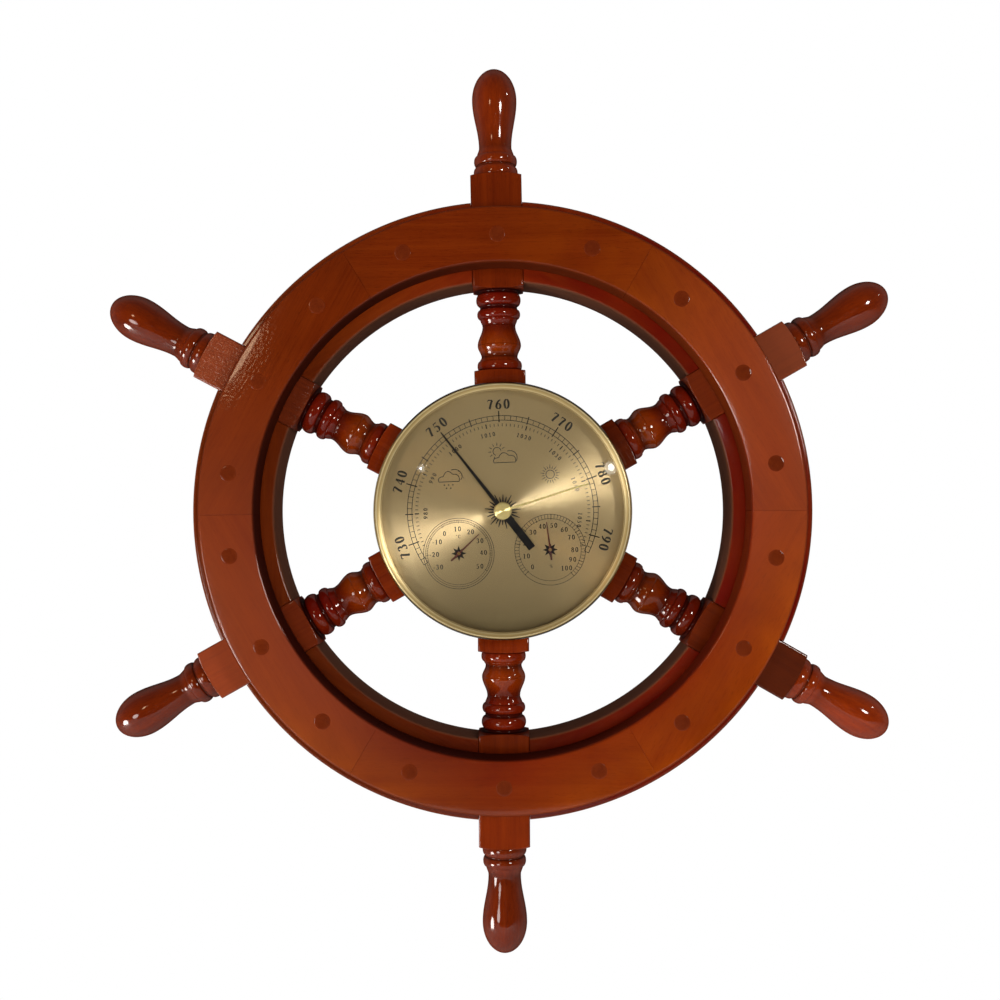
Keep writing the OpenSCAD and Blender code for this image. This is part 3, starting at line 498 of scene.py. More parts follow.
steel = metal_finish("steel", rgb(168, 170, 174), rgb(130, 132, 138), 0.28)
bimetal = metal_finish("bimetal", rgb(190, 150, 96), rgb(160, 118, 70), 0.34)
rubber = paint_finish("rubber", rgb(30, 30, 30), rgb(20, 20, 21), 0.75, 900.0)
black_lacquer = paint_finish("black_lacquer", rgb(16, 14, 14), rgb(24, 20, 18), 0.3)
brown_lacquer = paint_finish("brown_lacquer", rgb(86, 36, 24), rgb(66, 26, 18), 0.4)
print_ink = paint_finish("print_ink", rgb(24, 17, 11), rgb(14, 10, 7), 0.7, 700.0)


# Making of pieces

def finished(name, obj, body, replaced=()):
    """Names a piece, sets it on its body and says which CAD nodes it stands for."""
    obj.name = name
    obj.data.name = name
    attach(obj, body)
    if replaced:
        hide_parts(*replaced)


def in_scene(name, mesh):
    obj = bpy.data.objects.new(name, mesh)
    bpy.context.scene.collection.objects.link(obj)
    return obj


def turn_outwards(mesh, merge=False):
    """Turns all faces outwards, after doubled points are merged where merge says so."""
    work = bmesh.new()
    work.from_mesh(mesh)
    if merge:
        bmesh.ops.remove_doubles(work, verts=work.verts, dist=0.001 * mm)
    bmesh.ops.recalc_face_normals(work, faces=work.faces)
    work.to_mesh(mesh)
    work.free()


def mesh_object(name, verts, faces, material, smooth=True):
    mesh = bpy.data.meshes.new(name)
    mesh.from_pydata(verts, [], faces)
    turn_outwards(mesh)
    mesh.polygons.foreach_set("use_smooth", [smooth] * len(mesh.polygons))
    mesh.materials.append(material)
    return in_scene(name, mesh)


def joined(objects):
    """One mesh out of several."""
    with bpy.context.temp_override(
            active_object=objects[0], object=objects[0], selected_editable_objects=objects,
            selected_objects=objects):
        bpy.ops.object.join()
    return objects[0]


def lathe_points(outline, cols):
    """Rings of cols points: outline is a list of radius and height."""
    turns = [math.tau * j / cols for j in range(cols)]
    return [place(*polar(r, a), out) for r, out in outline for a in turns]


def band_faces(row, next_row, cols):
    """Faces between two rings of cols points."""
    here = row * cols
    there = next_row * cols
    return [(here + j, here + (j + 1) % cols, there + (j + 1) % cols, there + j) for j in range(cols)]


def tube_faces(rows, cols):
    """Faces of a closed tube of rows rings of cols points, with a point for each end after them."""
    faces = []
    for row in range(rows - 1):
        faces += band_faces(row, row + 1, cols)
    last = (rows - 1) * cols
    start = rows * cols
    for j in range(cols):
        k = (j + 1) % cols
        faces.append((start, k, j))
        faces.append((start + 1, last + j, last + k))
    return faces


def lathe_ring(name, outline, material, cols):
    """Ring turned about the wheel's axis from an outline that closes on itself."""
    rows = len(outline)
    faces = []
    for row in range(rows):
        faces += band_faces(row, (row + 1) % rows, cols)
    return mesh_object(name, lathe_points(outline, cols), faces, material)


def lathe_solid(name, outline, material, cols):
    """Solid turned about the wheel's axis: outline runs from its back to its front."""
    ends = [place(0, 0, outline[0][1]), place(0, 0, outline[-1][1])]
    verts = lathe_points(outline, cols) + ends
    return mesh_object(name, verts, tube_faces(len(outline), cols), material)


def set_layer(obj, name, kind, field, values):
    """Attribute that holds a value for each point."""
    layer = obj.data.attributes.new(name, kind, "POINT")
    layer.data.foreach_set(field, np.asarray(values, np.float32).ravel())


def wood_numbers(obj, grain, **numbers):
    """Gives a wooden piece its grain's coordinates and the numbers of its finish."""
    count = len(obj.data.vertices)
    set_layer(obj, "grain", "FLOAT_VECTOR", "vector", grain)
    for name, value in (PLAIN_WOOD | numbers).items():
        set_layer(obj, name, "FLOAT", "value", np.broadcast_to(value, count))


def step(x, low, high):
    """Smooth rise from 0 at low to 1 at high."""
    t = np.clip((np.asarray(x, float) - low) / (high - low), 0, 1)
    return t * t * (3 - 2 * t)


def lobe(turn, middle_at, core, foot):
    """1 near one direction round the wheel, 0 away from it: all in degrees."""
    off = np.abs((np.asarray(turn, float) - middle_at + 180) % 360 - 180)
    return 1 - step(off, core, foot)


# Spokes, each turned from a square bar

def slope(a, ra, b, rb, n):
    """S-curve from radius ra at a to radius rb at b."""
    t = np.linspace(0, 1, n)
    return list(zip(a + (b - a) * t, ra + (rb - ra) * (1 - np.cos(math.pi * t)) / 2))


def bead(a, b, foot, crest, n=22):
    """Half-round bead from a to b."""
    t = np.linspace(0, 1, n)
    return list(zip((a + b) / 2 - (b - a) / 2 * np.cos(math.pi * t),
                    foot + (crest - foot) * np.sin(math.pi * t)))


def shoulder(a, ra, b, rb, n=26):
    """Quarter-round from radius ra at a to radius rb at b."""
    t = np.linspace(0, math.pi / 2, n)
    return list(zip(a + (b - a) * np.sin(t), rb + (ra - rb) * np.cos(t)))


def inner_turning(square_r):
    """Beads, waist and belly between the hub's block and the rim's. The lengths are shares of the
    room between the two blocks."""
    hub_block = hub_r + 7.4
    shares = [2.8, 5.2, 2, 6, 9.9, 3.7, 4.8, 1.8, 6.4, 1.2, 2.8]
    unit = (felloe_in_r - hub_block) / sum(shares)
    ends = [hub_block + unit * sum(shares[:i + 1]) for i in range(len(shares) - 1)]
    bead_1, cove, waist, belly, neck, bead_2, gap, bead_3, groove, last = ends
    waist_r = 9.3
    belly_r = 11.2
    neck_r = 8.5
    foot_r = 9.6
    cove_r = 10.2
    points = shoulder(hub_block, square_r, bead_1, 10.4)
    points += bead(bead_1, cove, cove_r, 11.5)
    points += slope(cove, cove_r, waist, waist_r, 6)
    points += slope(waist, waist_r, belly, belly_r, 16)
    points += slope(belly, belly_r, neck, neck_r, 22)
    points += slope(neck, neck_r, bead_2, foot_r, 10)
    points += bead(bead_2, gap, foot_r, 11.1)
    points += bead(bead_3, groove, foot_r, 11.5)
    points += [(2 * felloe_in_r - a, r) for a, r in reversed(
        shoulder(felloe_in_r, square_r, 2 * felloe_in_r - last, cove_r))]
    return points


def handle_turning(square_r):
    """Two beads, a neck and a domed grip, outside the rim's block."""
    rim_block = felloe_out_r + 11.8
    collar = rim_block + 2.8
    ring = collar + 6.2
    neck = ring + 9.8
    dome = tip_r - 16
    bead_l = 5
    neck_r = 8.4
    grip_r = 11.5
    points = [(rim_block - 4, square_r)]
    points += shoulder(rim_block, square_r, collar, 10.9)
    points += bead(collar, collar + bead_l, 10.6, 11.4)
    points += bead(ring, ring + bead_l, 9.9, 11.1)
    points += slope(ring + bead_l, 9.6, neck, neck_r, 12)
    points += slope(neck, neck_r, dome, grip_r, 40)[1:]
    points += shoulder(dome, grip_r, tip_r, 0.0, 34)[1:-1]
    return points


def spoke_outline():
    """Distance from the wheel's axis and radius, from the root in the hub to the tip of the handle.
    Where the radius passes the bar's corners, the bar stays square."""
    square_r = bar / math.sqrt(2) + 1
    points = [(spoke_root_r, square_r)]
    points += inner_turning(square_r)
    points += [(felloe_in_r + 12, square_r), (felloe_out_r - 5, square_r)]
    points += handle_turning(square_r)
    return np.array(points)


def square_outline(half, ease, flat=25, round_points=5):
    """Directions round the bar and the reach of its square outline with eased corners."""
    sweep = []
    inner = half - ease
    edge = math.atan2(inner, half)
    for quarter in range(4):
        turn = quarter * math.pi / 2
        for t in np.linspace(-edge, edge, flat):
            sweep.append((turn + t, half / math.cos(t)))
        for t in np.linspace(0, math.pi / 2, round_points + 2)[1:-1]:
            x, y = polar(ease, t, inner, inner)
            sweep.append((turn + math.atan2(y, x), math.hypot(x, y)))
    return np.array(sweep)


def spoke_finish(index, far, size):
    """What the finish reads along one spoke, each with its values for the root and the tip: grooves
    darkened by stain and painted shade, red beads and a golden belly of painted light on the turnings, and
    blocks with painted sheen at the rim."""
    smooth_size = np.convolve(np.pad(size, 12, mode="edge"), np.ones(25) / 25, mode="valid")
    # Stain and painted shade in the grooves
    groove = step(smooth_size - size, -0.1, 1.3)
    block = size > bar / 2
    at_rim = far > felloe_in_r - 4
    inner_end = at_rim & (far < felloe_in_r + 14)
    rim_tone = rim_block_tone[index] * np.where(inner_end, inner_block_share[index], 1.0)
    rim_painted_sheen = rim_block_painted_sheen[index] * np.where(inner_end, 0.25, 1.0)
    block_tone = np.where(at_rim, rim_tone, hub_block_tone[index])
    turned_tone = np.where(at_rim, handle_tone[index], belly_tone[index])
    brushed = block & at_rim & (index == brushed_spoke)
    from_belly = np.abs((far - hub_r) / (felloe_in_r - hub_r) - 0.42)
    turned_inside = ~block & (far < felloe_in_r)
    return {"stain": (np.where(block, 0.1, 0.1 + 0.74 * groove), 0.3, 0.1),
            "gloss": (np.where(block, 0.8, 1.0 - 0.7 * groove), 0.8, 1.0),
            "tone": (np.where(block, block_tone, turned_tone), hub_block_tone[index], handle_tone[index]),
            "ripple": (np.where(brushed, 16.0, 1.0), 1.0, 1.0),
            "haze": (np.where(block & at_rim, rim_painted_sheen, 0.0), 0.0, 0.0),
            # Painted light: a golden glow on the belly
            "gold": (turned_inside * 0.16 * (1 - step(from_belly, 0.02, 0.16)), 0.0, 0.0),
            "red": (turned_inside * 0.62 * step(from_belly, 0.06, 0.26), 0.0, 0.0)}


def make_spoke(index, outline, square):
    """Spoke as a grid: the lesser of the turned outline and the square bar, softly blended."""
    blend = 0.35
    turned = outline[:, 1][:, None]
    bar_reach = square[:, 1][None, :]
    near = np.maximum(blend - np.abs(turned - bar_reach), 0) / blend
    radius = np.minimum(turned, bar_reach) - near * near * blend / 4
    rows, cols = radius.shape
    far = np.append(np.repeat(outline[:, 0], cols), [spoke_root_r, tip_r])
    wide = np.append(radius * np.sin(square[:, 0]), [0, 0])
    high = np.append(radius * np.cos(square[:, 0]), [0, 0])
    x, y = polar(1, spoke_at[index])
    points = np.stack([far * x - wide * y, -bar_axis - high, far * y + wide * x], axis=1) * mm
    obj = mesh_object(SPOKES[index], points.tolist(), tube_faces(rows, cols), turned_wood)
    seed = 0.37 * (index + 1)
    grain = np.stack([far * mm + seed, wide * mm + seed * 0.7, high * mm], axis=1)
    numbers = {name: np.append(np.repeat(values, cols), [root, tip])
               for name, (values, root, tip) in spoke_finish(index, *outline.T).items()}
    wood_numbers(obj, grain, **numbers)
    finished(f"turned_{SPOKES[index]}", obj, "wheel", [SPOKES[index]])


def make_spokes():
    outline = spoke_outline()
    square = square_outline(bar / 2, bar_ease)
    for index in range(len(SPOKES)):
        make_spoke(index, outline, square)


# Rim and pegs

class Geometry(Tree):
    """A Geometry Nodes tree under construction, with named inputs."""

    def __init__(self, name, numbers, counts=(), shape_in=False):
        super().__init__(bpy.data.node_groups.new(name, "GeometryNodeTree"))
        if shape_in:
            self.open_socket("Geometry", "NodeSocketGeometry")
        for key in counts:
            self.open_socket(key, "NodeSocketInt")
        for key in numbers:
            self.open_socket(key, "NodeSocketFloat")
        self.open_socket("Material", "NodeSocketMaterial")
        self.open_socket("Geometry", "NodeSocketGeometry", "OUTPUT")
        self.inputs = self.node("NodeGroupInput")

    def open_socket(self, name, kind, way="INPUT"):
        self.tree.interface.new_socket(name, in_out=way, socket_type=kind)

    def given(self, name):
        return self.value(self.inputs.outputs[name])

    def made(self, kind, settings=None, **sockets):
        """What a Geometry Nodes node makes, its sockets named with underscores for spaces."""
        named = {key.replace("_", " "): value for key, value in sockets.items()}
        return self.node("GeometryNode" + kind, settings, named).outputs[0]

    def index(self):
        return self.value(self.made("InputIndex"))

    def done(self, geometry):
        """Ends the tree: instances made real, and the material set."""
        real = self.made("RealizeInstances", Geometry=geometry)
        dressed = self.made("SetMaterial", Geometry=real, Material=self.given("Material"))
        self.node("NodeGroupOutput", sockets={0: dressed})
        return self.tree


def grown(tree, name, values, bevel=0.0, points=()):
    """Plain mesh that a tree makes from these inputs, its sharp edges broken where bevel says so."""
    seeds = bpy.data.meshes.new(name)
    seeds.from_pydata(points, [], [])
    holder = in_scene(name, seeds)
    modifier = holder.modifiers.new("grow", "NODES")
    modifier.node_group = tree
    for item in tree.interface.items_tree:
        if item.in_out == "INPUT" and item.name in values:
            modifier[item.identifier] = values[item.name]
    if bevel:
        edge = holder.modifiers.new("break_edges", "BEVEL")
        edge.width = bevel
        edge.segments = 2
        edge.limit_method = "ANGLE"
        edge.angle_limit = math.radians(50)
    ready = holder.evaluated_get(bpy.context.evaluated_depsgraph_get())
    mesh = bpy.data.meshes.new_from_object(ready)
    bpy.data.objects.remove(holder)
    return in_scene(name, mesh)


def felloe_tree():
    """Board of the rim: an eased rectangle swept along the arc between its two end cuts."""
    g = Geometry("felloe", ["Inner", "Outer", "Back", "Front", "Ease", "Start", "End", "Inset"])
    inner = g.given("Inner")
    outer = g.given("Outer")
    back = g.given("Back")
    front = g.given("Front")
    profile = g.made("CurvePrimitiveQuadrilateral", Width=outer - inner, Height=front - back)
    profile = g.made("FilletCurve", {"mode": "POLY"}, Curve=profile, Count=6, Radius=g.given("Ease"))
    line = g.made("CurvePrimitiveLine", Start=(0, 0, 0), End=(0, 0, 1))
    line = g.made("ResampleCurve", Curve=line, Count=97)
    mesh = g.made("CurveToMesh", Curve=line, Profile_Curve=profile, Fill_Caps=True)
    across, out, along = g.parts(g.made("InputPosition"))
    radius = across + (inner + outer) * 0.5
    inset = (g.given("Inset") / radius).arcsine()
    first = g.given("Start") + inset
    last = g.given("End") - inset
    angle = first + (last - first) * along
    bent = g.vector(radius * angle.cosine(), (out + (back + front) * 0.5) * -1.0, radius * angle.sine())
    mesh = g.made("SetPosition", Geometry=mesh, Position=bent)
    return g.done(g.made("SetShadeSmooth", Geometry=mesh))


def make_board(tree, node, span, radii, depths, inset, seed, finish_at, tone):
    """One felloe between two directions, with the grain straight along its chord."""
    obj = grown(tree, node, {
        "Inner": radii[0] * mm, "Outer": radii[1] * mm, "Back": depths[0] * mm, "Front": depths[1] * mm,
        "Ease": ease_r * mm, "Start": span[0], "End": span[1], "Inset": inset * mm,
        "Material": lacquered_wood}, bevel=0.08 * mm)
    turn_outwards(obj.data, merge=True)
    x, y, z = points_of(obj).T
    mid_x, mid_z = polar(1, sum(span) / 2)
    chord = mid_x * z - mid_z * x
    height = mid_x * x + mid_z * z
    grain = np.stack([chord + 730 * seed, height + 310 * seed, -y], axis=1) * mm
    values = finish_at(np.hypot(x, z), -y, np.degrees(np.arctan2(z, x)) % 360)
    values["tone"] = values["tone"] * tone
    wood_numbers(obj, grain, **values)
    finished(f"lacquered_{node}", obj, "wheel", [node])


def front_finish(r, out, turn):
    """Front ring: a clear face with painted sheen, duller walls darkened by stain and painted shade,
    painted light and shade round the ring, and a stretch of brush marks.
    Where the painted sheen, gold and red lie round the ring follows the photograph."""
    edge = np.minimum(r - ring_in_r, ring_out_r - r)
    wall = 1 - step(edge, 0.2, 1.3)
    inner_wall = wall * (r < (ring_in_r + ring_out_r) / 2)
    # Rounded edges and walls are darker by stain and by painted shade
    rounding = 0.18 * (1 - step(edge, 0.5, 4.0))
    # Painted shade on the inner wall at the left, away from the light
    shaded = lobe(turn, 195, 70, 120)
    inner_arris = (1 - step(r - ring_in_r, 0.9, 1.5)) * step(out, front_face - 1.5, front_face - 0.7)
    lit_arris = inner_arris * lobe(turn, 22, 20, 42)
    brushed = lobe(turn, 151, 4, 13) * step(r, ring_in_r + 8, ring_out_r - 8) * (1 - wall)
    # Painted sheen round the ring, where lamps would show a broad reflection
    painted_lamp_sheen = np.maximum(lobe(turn, 14, 5, 55), lobe(turn, 208, 5, 72))
    golden = (0.52 * lobe(turn, 318, 22, 50) + 0.36 * lobe(turn, 62, 12, 34)
              + 0.55 * lobe(turn, 240, 8, 28) * step(r, ring_in_r + 9, ring_out_r - 7))
    walls = 0.35 * wall + 0.4 * inner_wall * shaded
    return {"stain": np.maximum(rounding, walls) * (1 - 0.6 * lit_arris),
            "gloss": np.maximum(1.0 - 0.75 * wall, lit_arris),
            # Painted light on the right and painted shade on the left
            "tone": 0.65 + 0.17 * lobe(turn, 340, 50, 90) - 0.07 * lobe(turn, 190, 50, 90),
            "haze": 0.16 * painted_lamp_sheen * (1 - wall),
            "gold": golden * (1 - wall),
            "red": 0.1 + 0.4 * (1 - step(r - ring_in_r, 2, 13)) * lobe(turn, 275, 70, 120),
            "ripple": 1 + 7 * brushed + 5 * lit_arris}


def middle_finish(r, out, turn):
    """Middle layer: ledges darkened by stain and painted shade in the corner under the ring, painted shade
    towards the lower left, and walls almost bare with a painted reflection.
    """
    ledge = np.minimum(np.abs(r - ring_in_r), np.abs(r - ring_out_r))
    # Painted shade, with stain, in the corner under the ring's edge
    corner = 1 - step(ledge, 0.0, 2.5)
    inner_wall = 1 - step(r - felloe_in_r, 0.2, 1.3)
    outer_wall = 1 - step(felloe_out_r - r, 0.2, 1.3)
    wall = np.maximum(inner_wall, outer_wall)
    return {"stain": 0.25 + 0.4 * corner,
            "gloss": 0.6 - 0.5 * wall,
            "red": 0.8 * (1 - wall) * lobe(turn, 0, 70, 130),
            # Painted shade towards the lower left
            "tone": 1.0 - 0.4 * lobe(turn, 210, 60, 110) * (1 - wall),
            "bare": 0.8 * inner_wall + 0.45 * outer_wall}


def rear_finish(r, out, turn):
    """Rear layer: even and half dull."""
    return {"stain": 0.3, "gloss": 0.4, "tone": 1.0}


def make_rim():
    """Three layers of six boards. The seams of the outer two lie midway between the spokes, and the
    middle boards reach from spoke to spoke."""
    tree = felloe_tree()
    ring = (ring_in_r, ring_out_r)
    wider_ring = (felloe_in_r, felloe_out_r)
    following = spoke_at[1:] + [spoke_at[0] + math.tau]
    seams = [(here + there) / 2 for here, there in zip(spoke_at, following)]
    seams_before = [seams[-1] - math.tau] + seams[:-1]
    for i in range(len(SPOKES)):
        over_spoke = (seams_before[i], seams[i])
        between_spokes = (spoke_at[i], following[i])
        make_board(tree, f"front_felloe_{i + 1}", over_spoke, ring, front_depth,
                   seam / 2, i + 1, front_finish, front_tone[i])
        make_board(tree, f"middle_felloe_{i + 1}", between_spokes, wider_ring, middle_depth,
                   bar / 2 + seam, i + 11, middle_finish, middle_tone[i])
        make_board(tree, f"rear_felloe_{i + 1}", over_spoke, ring, rear_depth,
                   seam / 2, i + 21, rear_finish, front_tone[i])


def peg_tree():
    """Pegs on points: a straight shank whose end is domed by the lacquer."""
    g = Geometry("pegs", ["Radius", "Back", "Face", "Top"], shape_in=True)
    face = g.given("Face")
    rings_to_crown = 10.4
    line = g.made("CurvePrimitiveLine", Start=(0, 0, 0), End=(0, -1, 0))
    line = g.made("ResampleCurve", Curve=line, Count=12)
    index = g.index()
    turn = ((index - 1.0) * (math.pi / 2 / rings_to_crown)).greater_of(0.0)
    top = face + (g.given("Top") - face) * turn.sine()
    at_back = index.math("LESS_THAN", 0.5)
    out = top + (g.given("Back") - top) * at_back
    line = g.made("SetPosition", Geometry=line, Position=g.vector(0.0, out * -1.0, 0.0))
    circle = g.made("CurvePrimitiveCircle", Resolution=40, Radius=g.given("Radius"))
    peg = g.made("CurveToMesh", Curve=line, Profile_Curve=circle, Scale=turn.cosine(), Fill_Caps=True)
    peg = g.made("SetShadeSmooth", Geometry=peg)
    return g.done(g.made("InstanceOnPoints", Points=g.inputs.outputs["Geometry"], Instance=peg))


def make_pegs():
    """Pegs through the rim, sanded flush and domed a little by the lacquer over them."""
    tree = peg_tree()
    for name, offsets in (("spoke_pegs", (0,)), ("felloe_pegs", (-peg_step, peg_step))):
        spots = np.array([polar(peg_circle_r, angle + offset) for angle in spoke_at for offset in offsets])
        obj = grown(tree, name, {
            "Radius": peg_r * mm, "Back": peg_back * mm, "Face": front_face * mm, "Top": peg_top * mm,
            "Material": peg_wood}, points=[place(x, z, 0) for x, z in spots])
        turn_outwards(obj.data, merge=True)
        x, y, z = points_of(obj).T
        away = np.hypot(x[:, None] - spots[:, 0], z[:, None] - spots[:, 1]).min(axis=1)
        grain = np.stack([x * 0.05 - y * 0.3, x, z], axis=1) * mm
        wood_numbers(obj, grain, tone=0.78 + 0.12 * step(away, 2.6, 4.0), gloss=0.35)
        finished(f"lacquered_{name}", obj, "wheel", [name])


# Brass and glass

def make_bezel():
    """Turned ring: rolled outer edge, a broad sloping band, a step and a thin lip over the glass."""
    foot = bezel_back
    crest = bezel_top
    roll = 1.9
    roll_foot = foot + 2.4
    outline = [(glass_seat_r, foot + 0.25), (glass_seat_r, foot), (bezel_r - 0.8, foot),
               (bezel_r - 0.2, foot + 0.25), (bezel_r, foot + 0.8), (bezel_r, roll_foot)]
    for t in np.linspace(0, math.pi / 2, 22)[1:]:
        outline.append((bezel_r - roll + roll * math.cos(t), roll_foot + (crest - roll_foot) * math.sin(t)))
    slope_and_lip = [
        (61.7, 0.02), (61.35, 0.1), (60.4, 0.34), (60.15, 0.4), (60.0, 0.5), (59.75, 0.56),
        (glass_lip_r + 0.05, 0.62), (glass_lip_r, 0.7), (glass_lip_r, 0.88), (glass_seat_r, 0.88)]
    outline += [(r, crest - drop) for r, drop in slope_and_lip]
    ring = lathe_ring("bezel", outline, polished_brass, 320)
    ring.data.set_sharp_from_angle(angle=math.radians(40))
    finished("turned_bezel", ring, "instrument", ["bezel"])


def make_knob():
    """Set hand's knob with its stem: a flat turned face with a small round edge."""
    stem_r = 1.2
    knob_h = 4.0
    rounded = [(3.7, knob_h), (4.1, 3.8), (4.2, 3.4), (4.2, 0.6), (4.1, 0.3), (3.85, 0.1), (3.6, 0.04),
               (2.0, 0.01), (0.5, 0.0)]
    outline = [(stem_r, knob_base), (stem_r, knob_top - knob_h)]
    outline += [(r, knob_top - drop) for r, drop in rounded]
    knob = lathe_solid("knob", outline, turned_brass, 96)
    finished("turned_set_knob", knob, "setting", ["set_knob"])


def make_dial():
    """Dial plate as a smooth disc, for its brushed finish."""
    edge = 0.05
    outline = [(insert_r - edge, dial_back), (insert_r, dial_back + edge), (insert_r, dial_face - edge),
               (insert_r - edge, dial_face), (30, dial_face), (2, dial_face)]
    disc = lathe_solid("dial", outline, gold_dial, 256)
    disc.data.set_sharp_from_angle(angle=math.radians(30))
    finished("brushed_dial", disc, "instrument", ["dial_plate"])


# Print on the dial, as thin closed slabs of ink

def on_dial(x, y):
    """Point seen from the front, for a point of the dial's own frame, which is turned a little."""
    c = math.cos(dial_turn)
    s = math.sin(dial_turn)
    return x * c - y * s, x * s + y * c


def ellipse(x, y, rx, ry, first, last, n=20):
    """Points along an ellipse, angles in degrees."""
    turns = np.radians(np.linspace(first, last, n))
    return [(x + rx * math.cos(t), y + ry * math.sin(t)) for t in turns]


def curved(*points, n=12):
    """Points along a Bezier curve."""
    out = []
    for t in np.linspace(0, 1, n):
        row = [np.array(p, float) for p in points]
        while len(row) > 1:
            row = [a + (b - a) * t for a, b in zip(row, row[1:])]
        out.append(tuple(row[0]))
    return out


class Ink:
    """Slabs of ink, collected into one mesh. Places are in the dial's own frame."""

    def __init__(self):
        self.verts = []
        self.faces = []

    def slab(self, left, right, closed=False):
        """Slab between two rows of points."""
        count = len(left)
        start = len(self.verts)
        for level in (ink_base, ink_top):
            for row in (left, right):
                self.verts += [place(*on_dial(x, y), level) for x, y in row]
        for i in range(count if closed else count - 1):
            k = (i + 1) % count
            low_left, low_right, high_left, high_right = (start + q * count for q in range(4))
            self.faces += [
                (low_left + i, low_left + k, low_right + k, low_right + i),
                (high_left + i, high_right + i, high_right + k, high_left + k),
                (low_left + i, high_left + i, high_left + k, low_left + k),
                (low_right + i, low_right + k, high_right + k, high_right + i)]
        if not closed:
            for i in (0, count - 1):
                self.faces.append(tuple(start + q * count + i for q in (0, 1, 3, 2)))

    def stroke(self, points, width, closed=False):
        """Stroke along points, as wide as width says: one number, or one for each point."""
        points = np.array(points, float)
        if closed:
            ahead = np.roll(points, -1, axis=0)
            behind = np.roll(points, 1, axis=0)
        else:
            ahead = np.vstack([points[1:], 2 * points[-1:] - points[-2:-1]])
            behind = np.vstack([2 * points[:1] - points[1:2], points[:-1]])
        way = ahead - behind
        way /= np.hypot(way[:, 0], way[:, 1])[:, None]
        half = np.broadcast_to(width, len(points))[:, None] / 2
        side = np.stack([-way[:, 1], way[:, 0]], axis=1) * half
        self.slab(points + side, points - side, closed)

    def ring(self, x, y, r, width, first=0.0, last=360.0):
        """Circle or arc, angles in degrees."""
        sweep = abs(last - first)
        whole = sweep >= 360
        points = ellipse(x, y, r, r, first, last, int(r * sweep / 40) + 9)
        self.stroke(points[:-1] if whole else points, width, whole)

    def dot(self, x, y, r):
        """Round dot: a short stroke as wide at each point as a disc is there."""
        shares = [(-1, 0.1), (-0.7, 1.4), (0, 2), (0.7, 1.4), (1, 0.1)]
        self.stroke([(x + r * along, y) for along, _ in shares], [r * wide for _, wide in shares])

    def rays(self, x, y, inner, outers, count, width, tip=0.3, first=0.0):
        """Tapered rays round a point, their lengths taken in turn from outers."""
        for i in range(count):
            a = math.radians(first) + math.tau * i / count
            ends = [polar(r, a, x, y) for r in (inner, outers[i % len(outers)])]
            self.stroke(ends, [width, width * tip])

    def star(self, x, y, outer=3.8, inner=1.9, eye=0.9, points=8):
        """Pointed star with a hole at its middle for the arbor."""
        turns = [math.pi * i / points for i in range(2 * points)]
        rim = [polar(inner if i % 2 else outer, a, x, y) for i, a in enumerate(turns)]
        self.slab(rim, [polar(eye, a, x, y) for a in turns], True)


def sign(pen=(), bars=(), dots=(), closed=False):
    """Skeleton of a numeral or sign one unit high: strokes of a broad pen and whether they close,
    bars with their width, and dots with their radius."""
    return pen, bars, dots, closed


six_bowl = ellipse(0.25, 0.30, 0.185, 0.275, 0, 342, 20)
six = [six_bowl + six_bowl[:1], curved((0.45, 0.96), (0.16, 0.82), (0.065, 0.34))]
SIGNS = {
    "0": sign([ellipse(0.25, 0.5, 0.185, 0.47, 0, 345, 24)], closed=True),
    "1": sign([[(0.27, 0.98), (0.27, 0.03)]],
              [([(0.27, 0.97), (0.1, 0.85)], 0.06), ([(0.1, 0.025), (0.44, 0.025)], 0.05)]),
    "2": sign([ellipse(0.24, 0.73, 0.17, 0.24, 165, -15, 14)
               + curved((0.4, 0.6), (0.32, 0.35), (0.08, 0.08))],
              [([(0.05, 0.05), (0.43, 0.05)], 0.11), ([(0.43, 0.04), (0.48, 0.2)], 0.05)],
              [(0.1, 0.76, 0.06)]),
    "3": sign([ellipse(0.21, 0.765, 0.155, 0.21, 160, -80, 16),
               ellipse(0.2, 0.285, 0.2, 0.26, 88, -140, 18)],
              dots=[(0.08, 0.15, 0.06), (0.09, 0.82, 0.045)]),
    "4": sign([[(0.36, 0.98), (0.36, 0.02)]],
              [([(0.35, 0.97), (0.03, 0.3)], 0.055), ([(0.02, 0.29), (0.5, 0.29)], 0.085)]),
    "5": sign([ellipse(0.19, 0.32, 0.21, 0.285, 118, -140, 20)],
              [([(0.13, 0.93), (0.45, 0.93)], 0.11), ([(0.14, 0.95), (0.09, 0.57)], 0.05)],
              [(0.07, 0.15, 0.06)]),
    "6": sign(six),
    "7": sign([curved((0.44, 0.9), (0.27, 0.5), (0.2, 0.01))],
              [([(0.05, 0.93), (0.46, 0.93)], 0.11), ([(0.06, 0.95), (0.03, 0.76)], 0.05)]),
    "8": sign([ellipse(0.25, 0.755, 0.145, 0.205, 0, 360, 20),
               ellipse(0.25, 0.275, 0.19, 0.25, 0, 360, 22)]),
    "9": sign([[(0.5 - x, 1 - y) for x, y in line] for line in six]),
    "C": sign([ellipse(0.36, 0.5, 0.28, 0.46, 42, 318, 22)], [([(0.58, 0.96), (0.58, 0.68)], 0.05)]),
    "°": sign(bars=[(ellipse(0.16, 0.84, 0.1, 0.12, 0, 360, 14), 0.06)]),
    "%": sign(bars=[(ellipse(0.13, 0.74, 0.11, 0.2, 0, 360, 14), 0.06), ([(0.5, 0.98), (0.16, 0.02)], 0.05),
                    (ellipse(0.53, 0.26, 0.11, 0.2, 0, 360, 14), 0.06)]),
    "-": sign(bars=[([(0.08, 0.36), (0.36, 0.36)], 0.1)])}


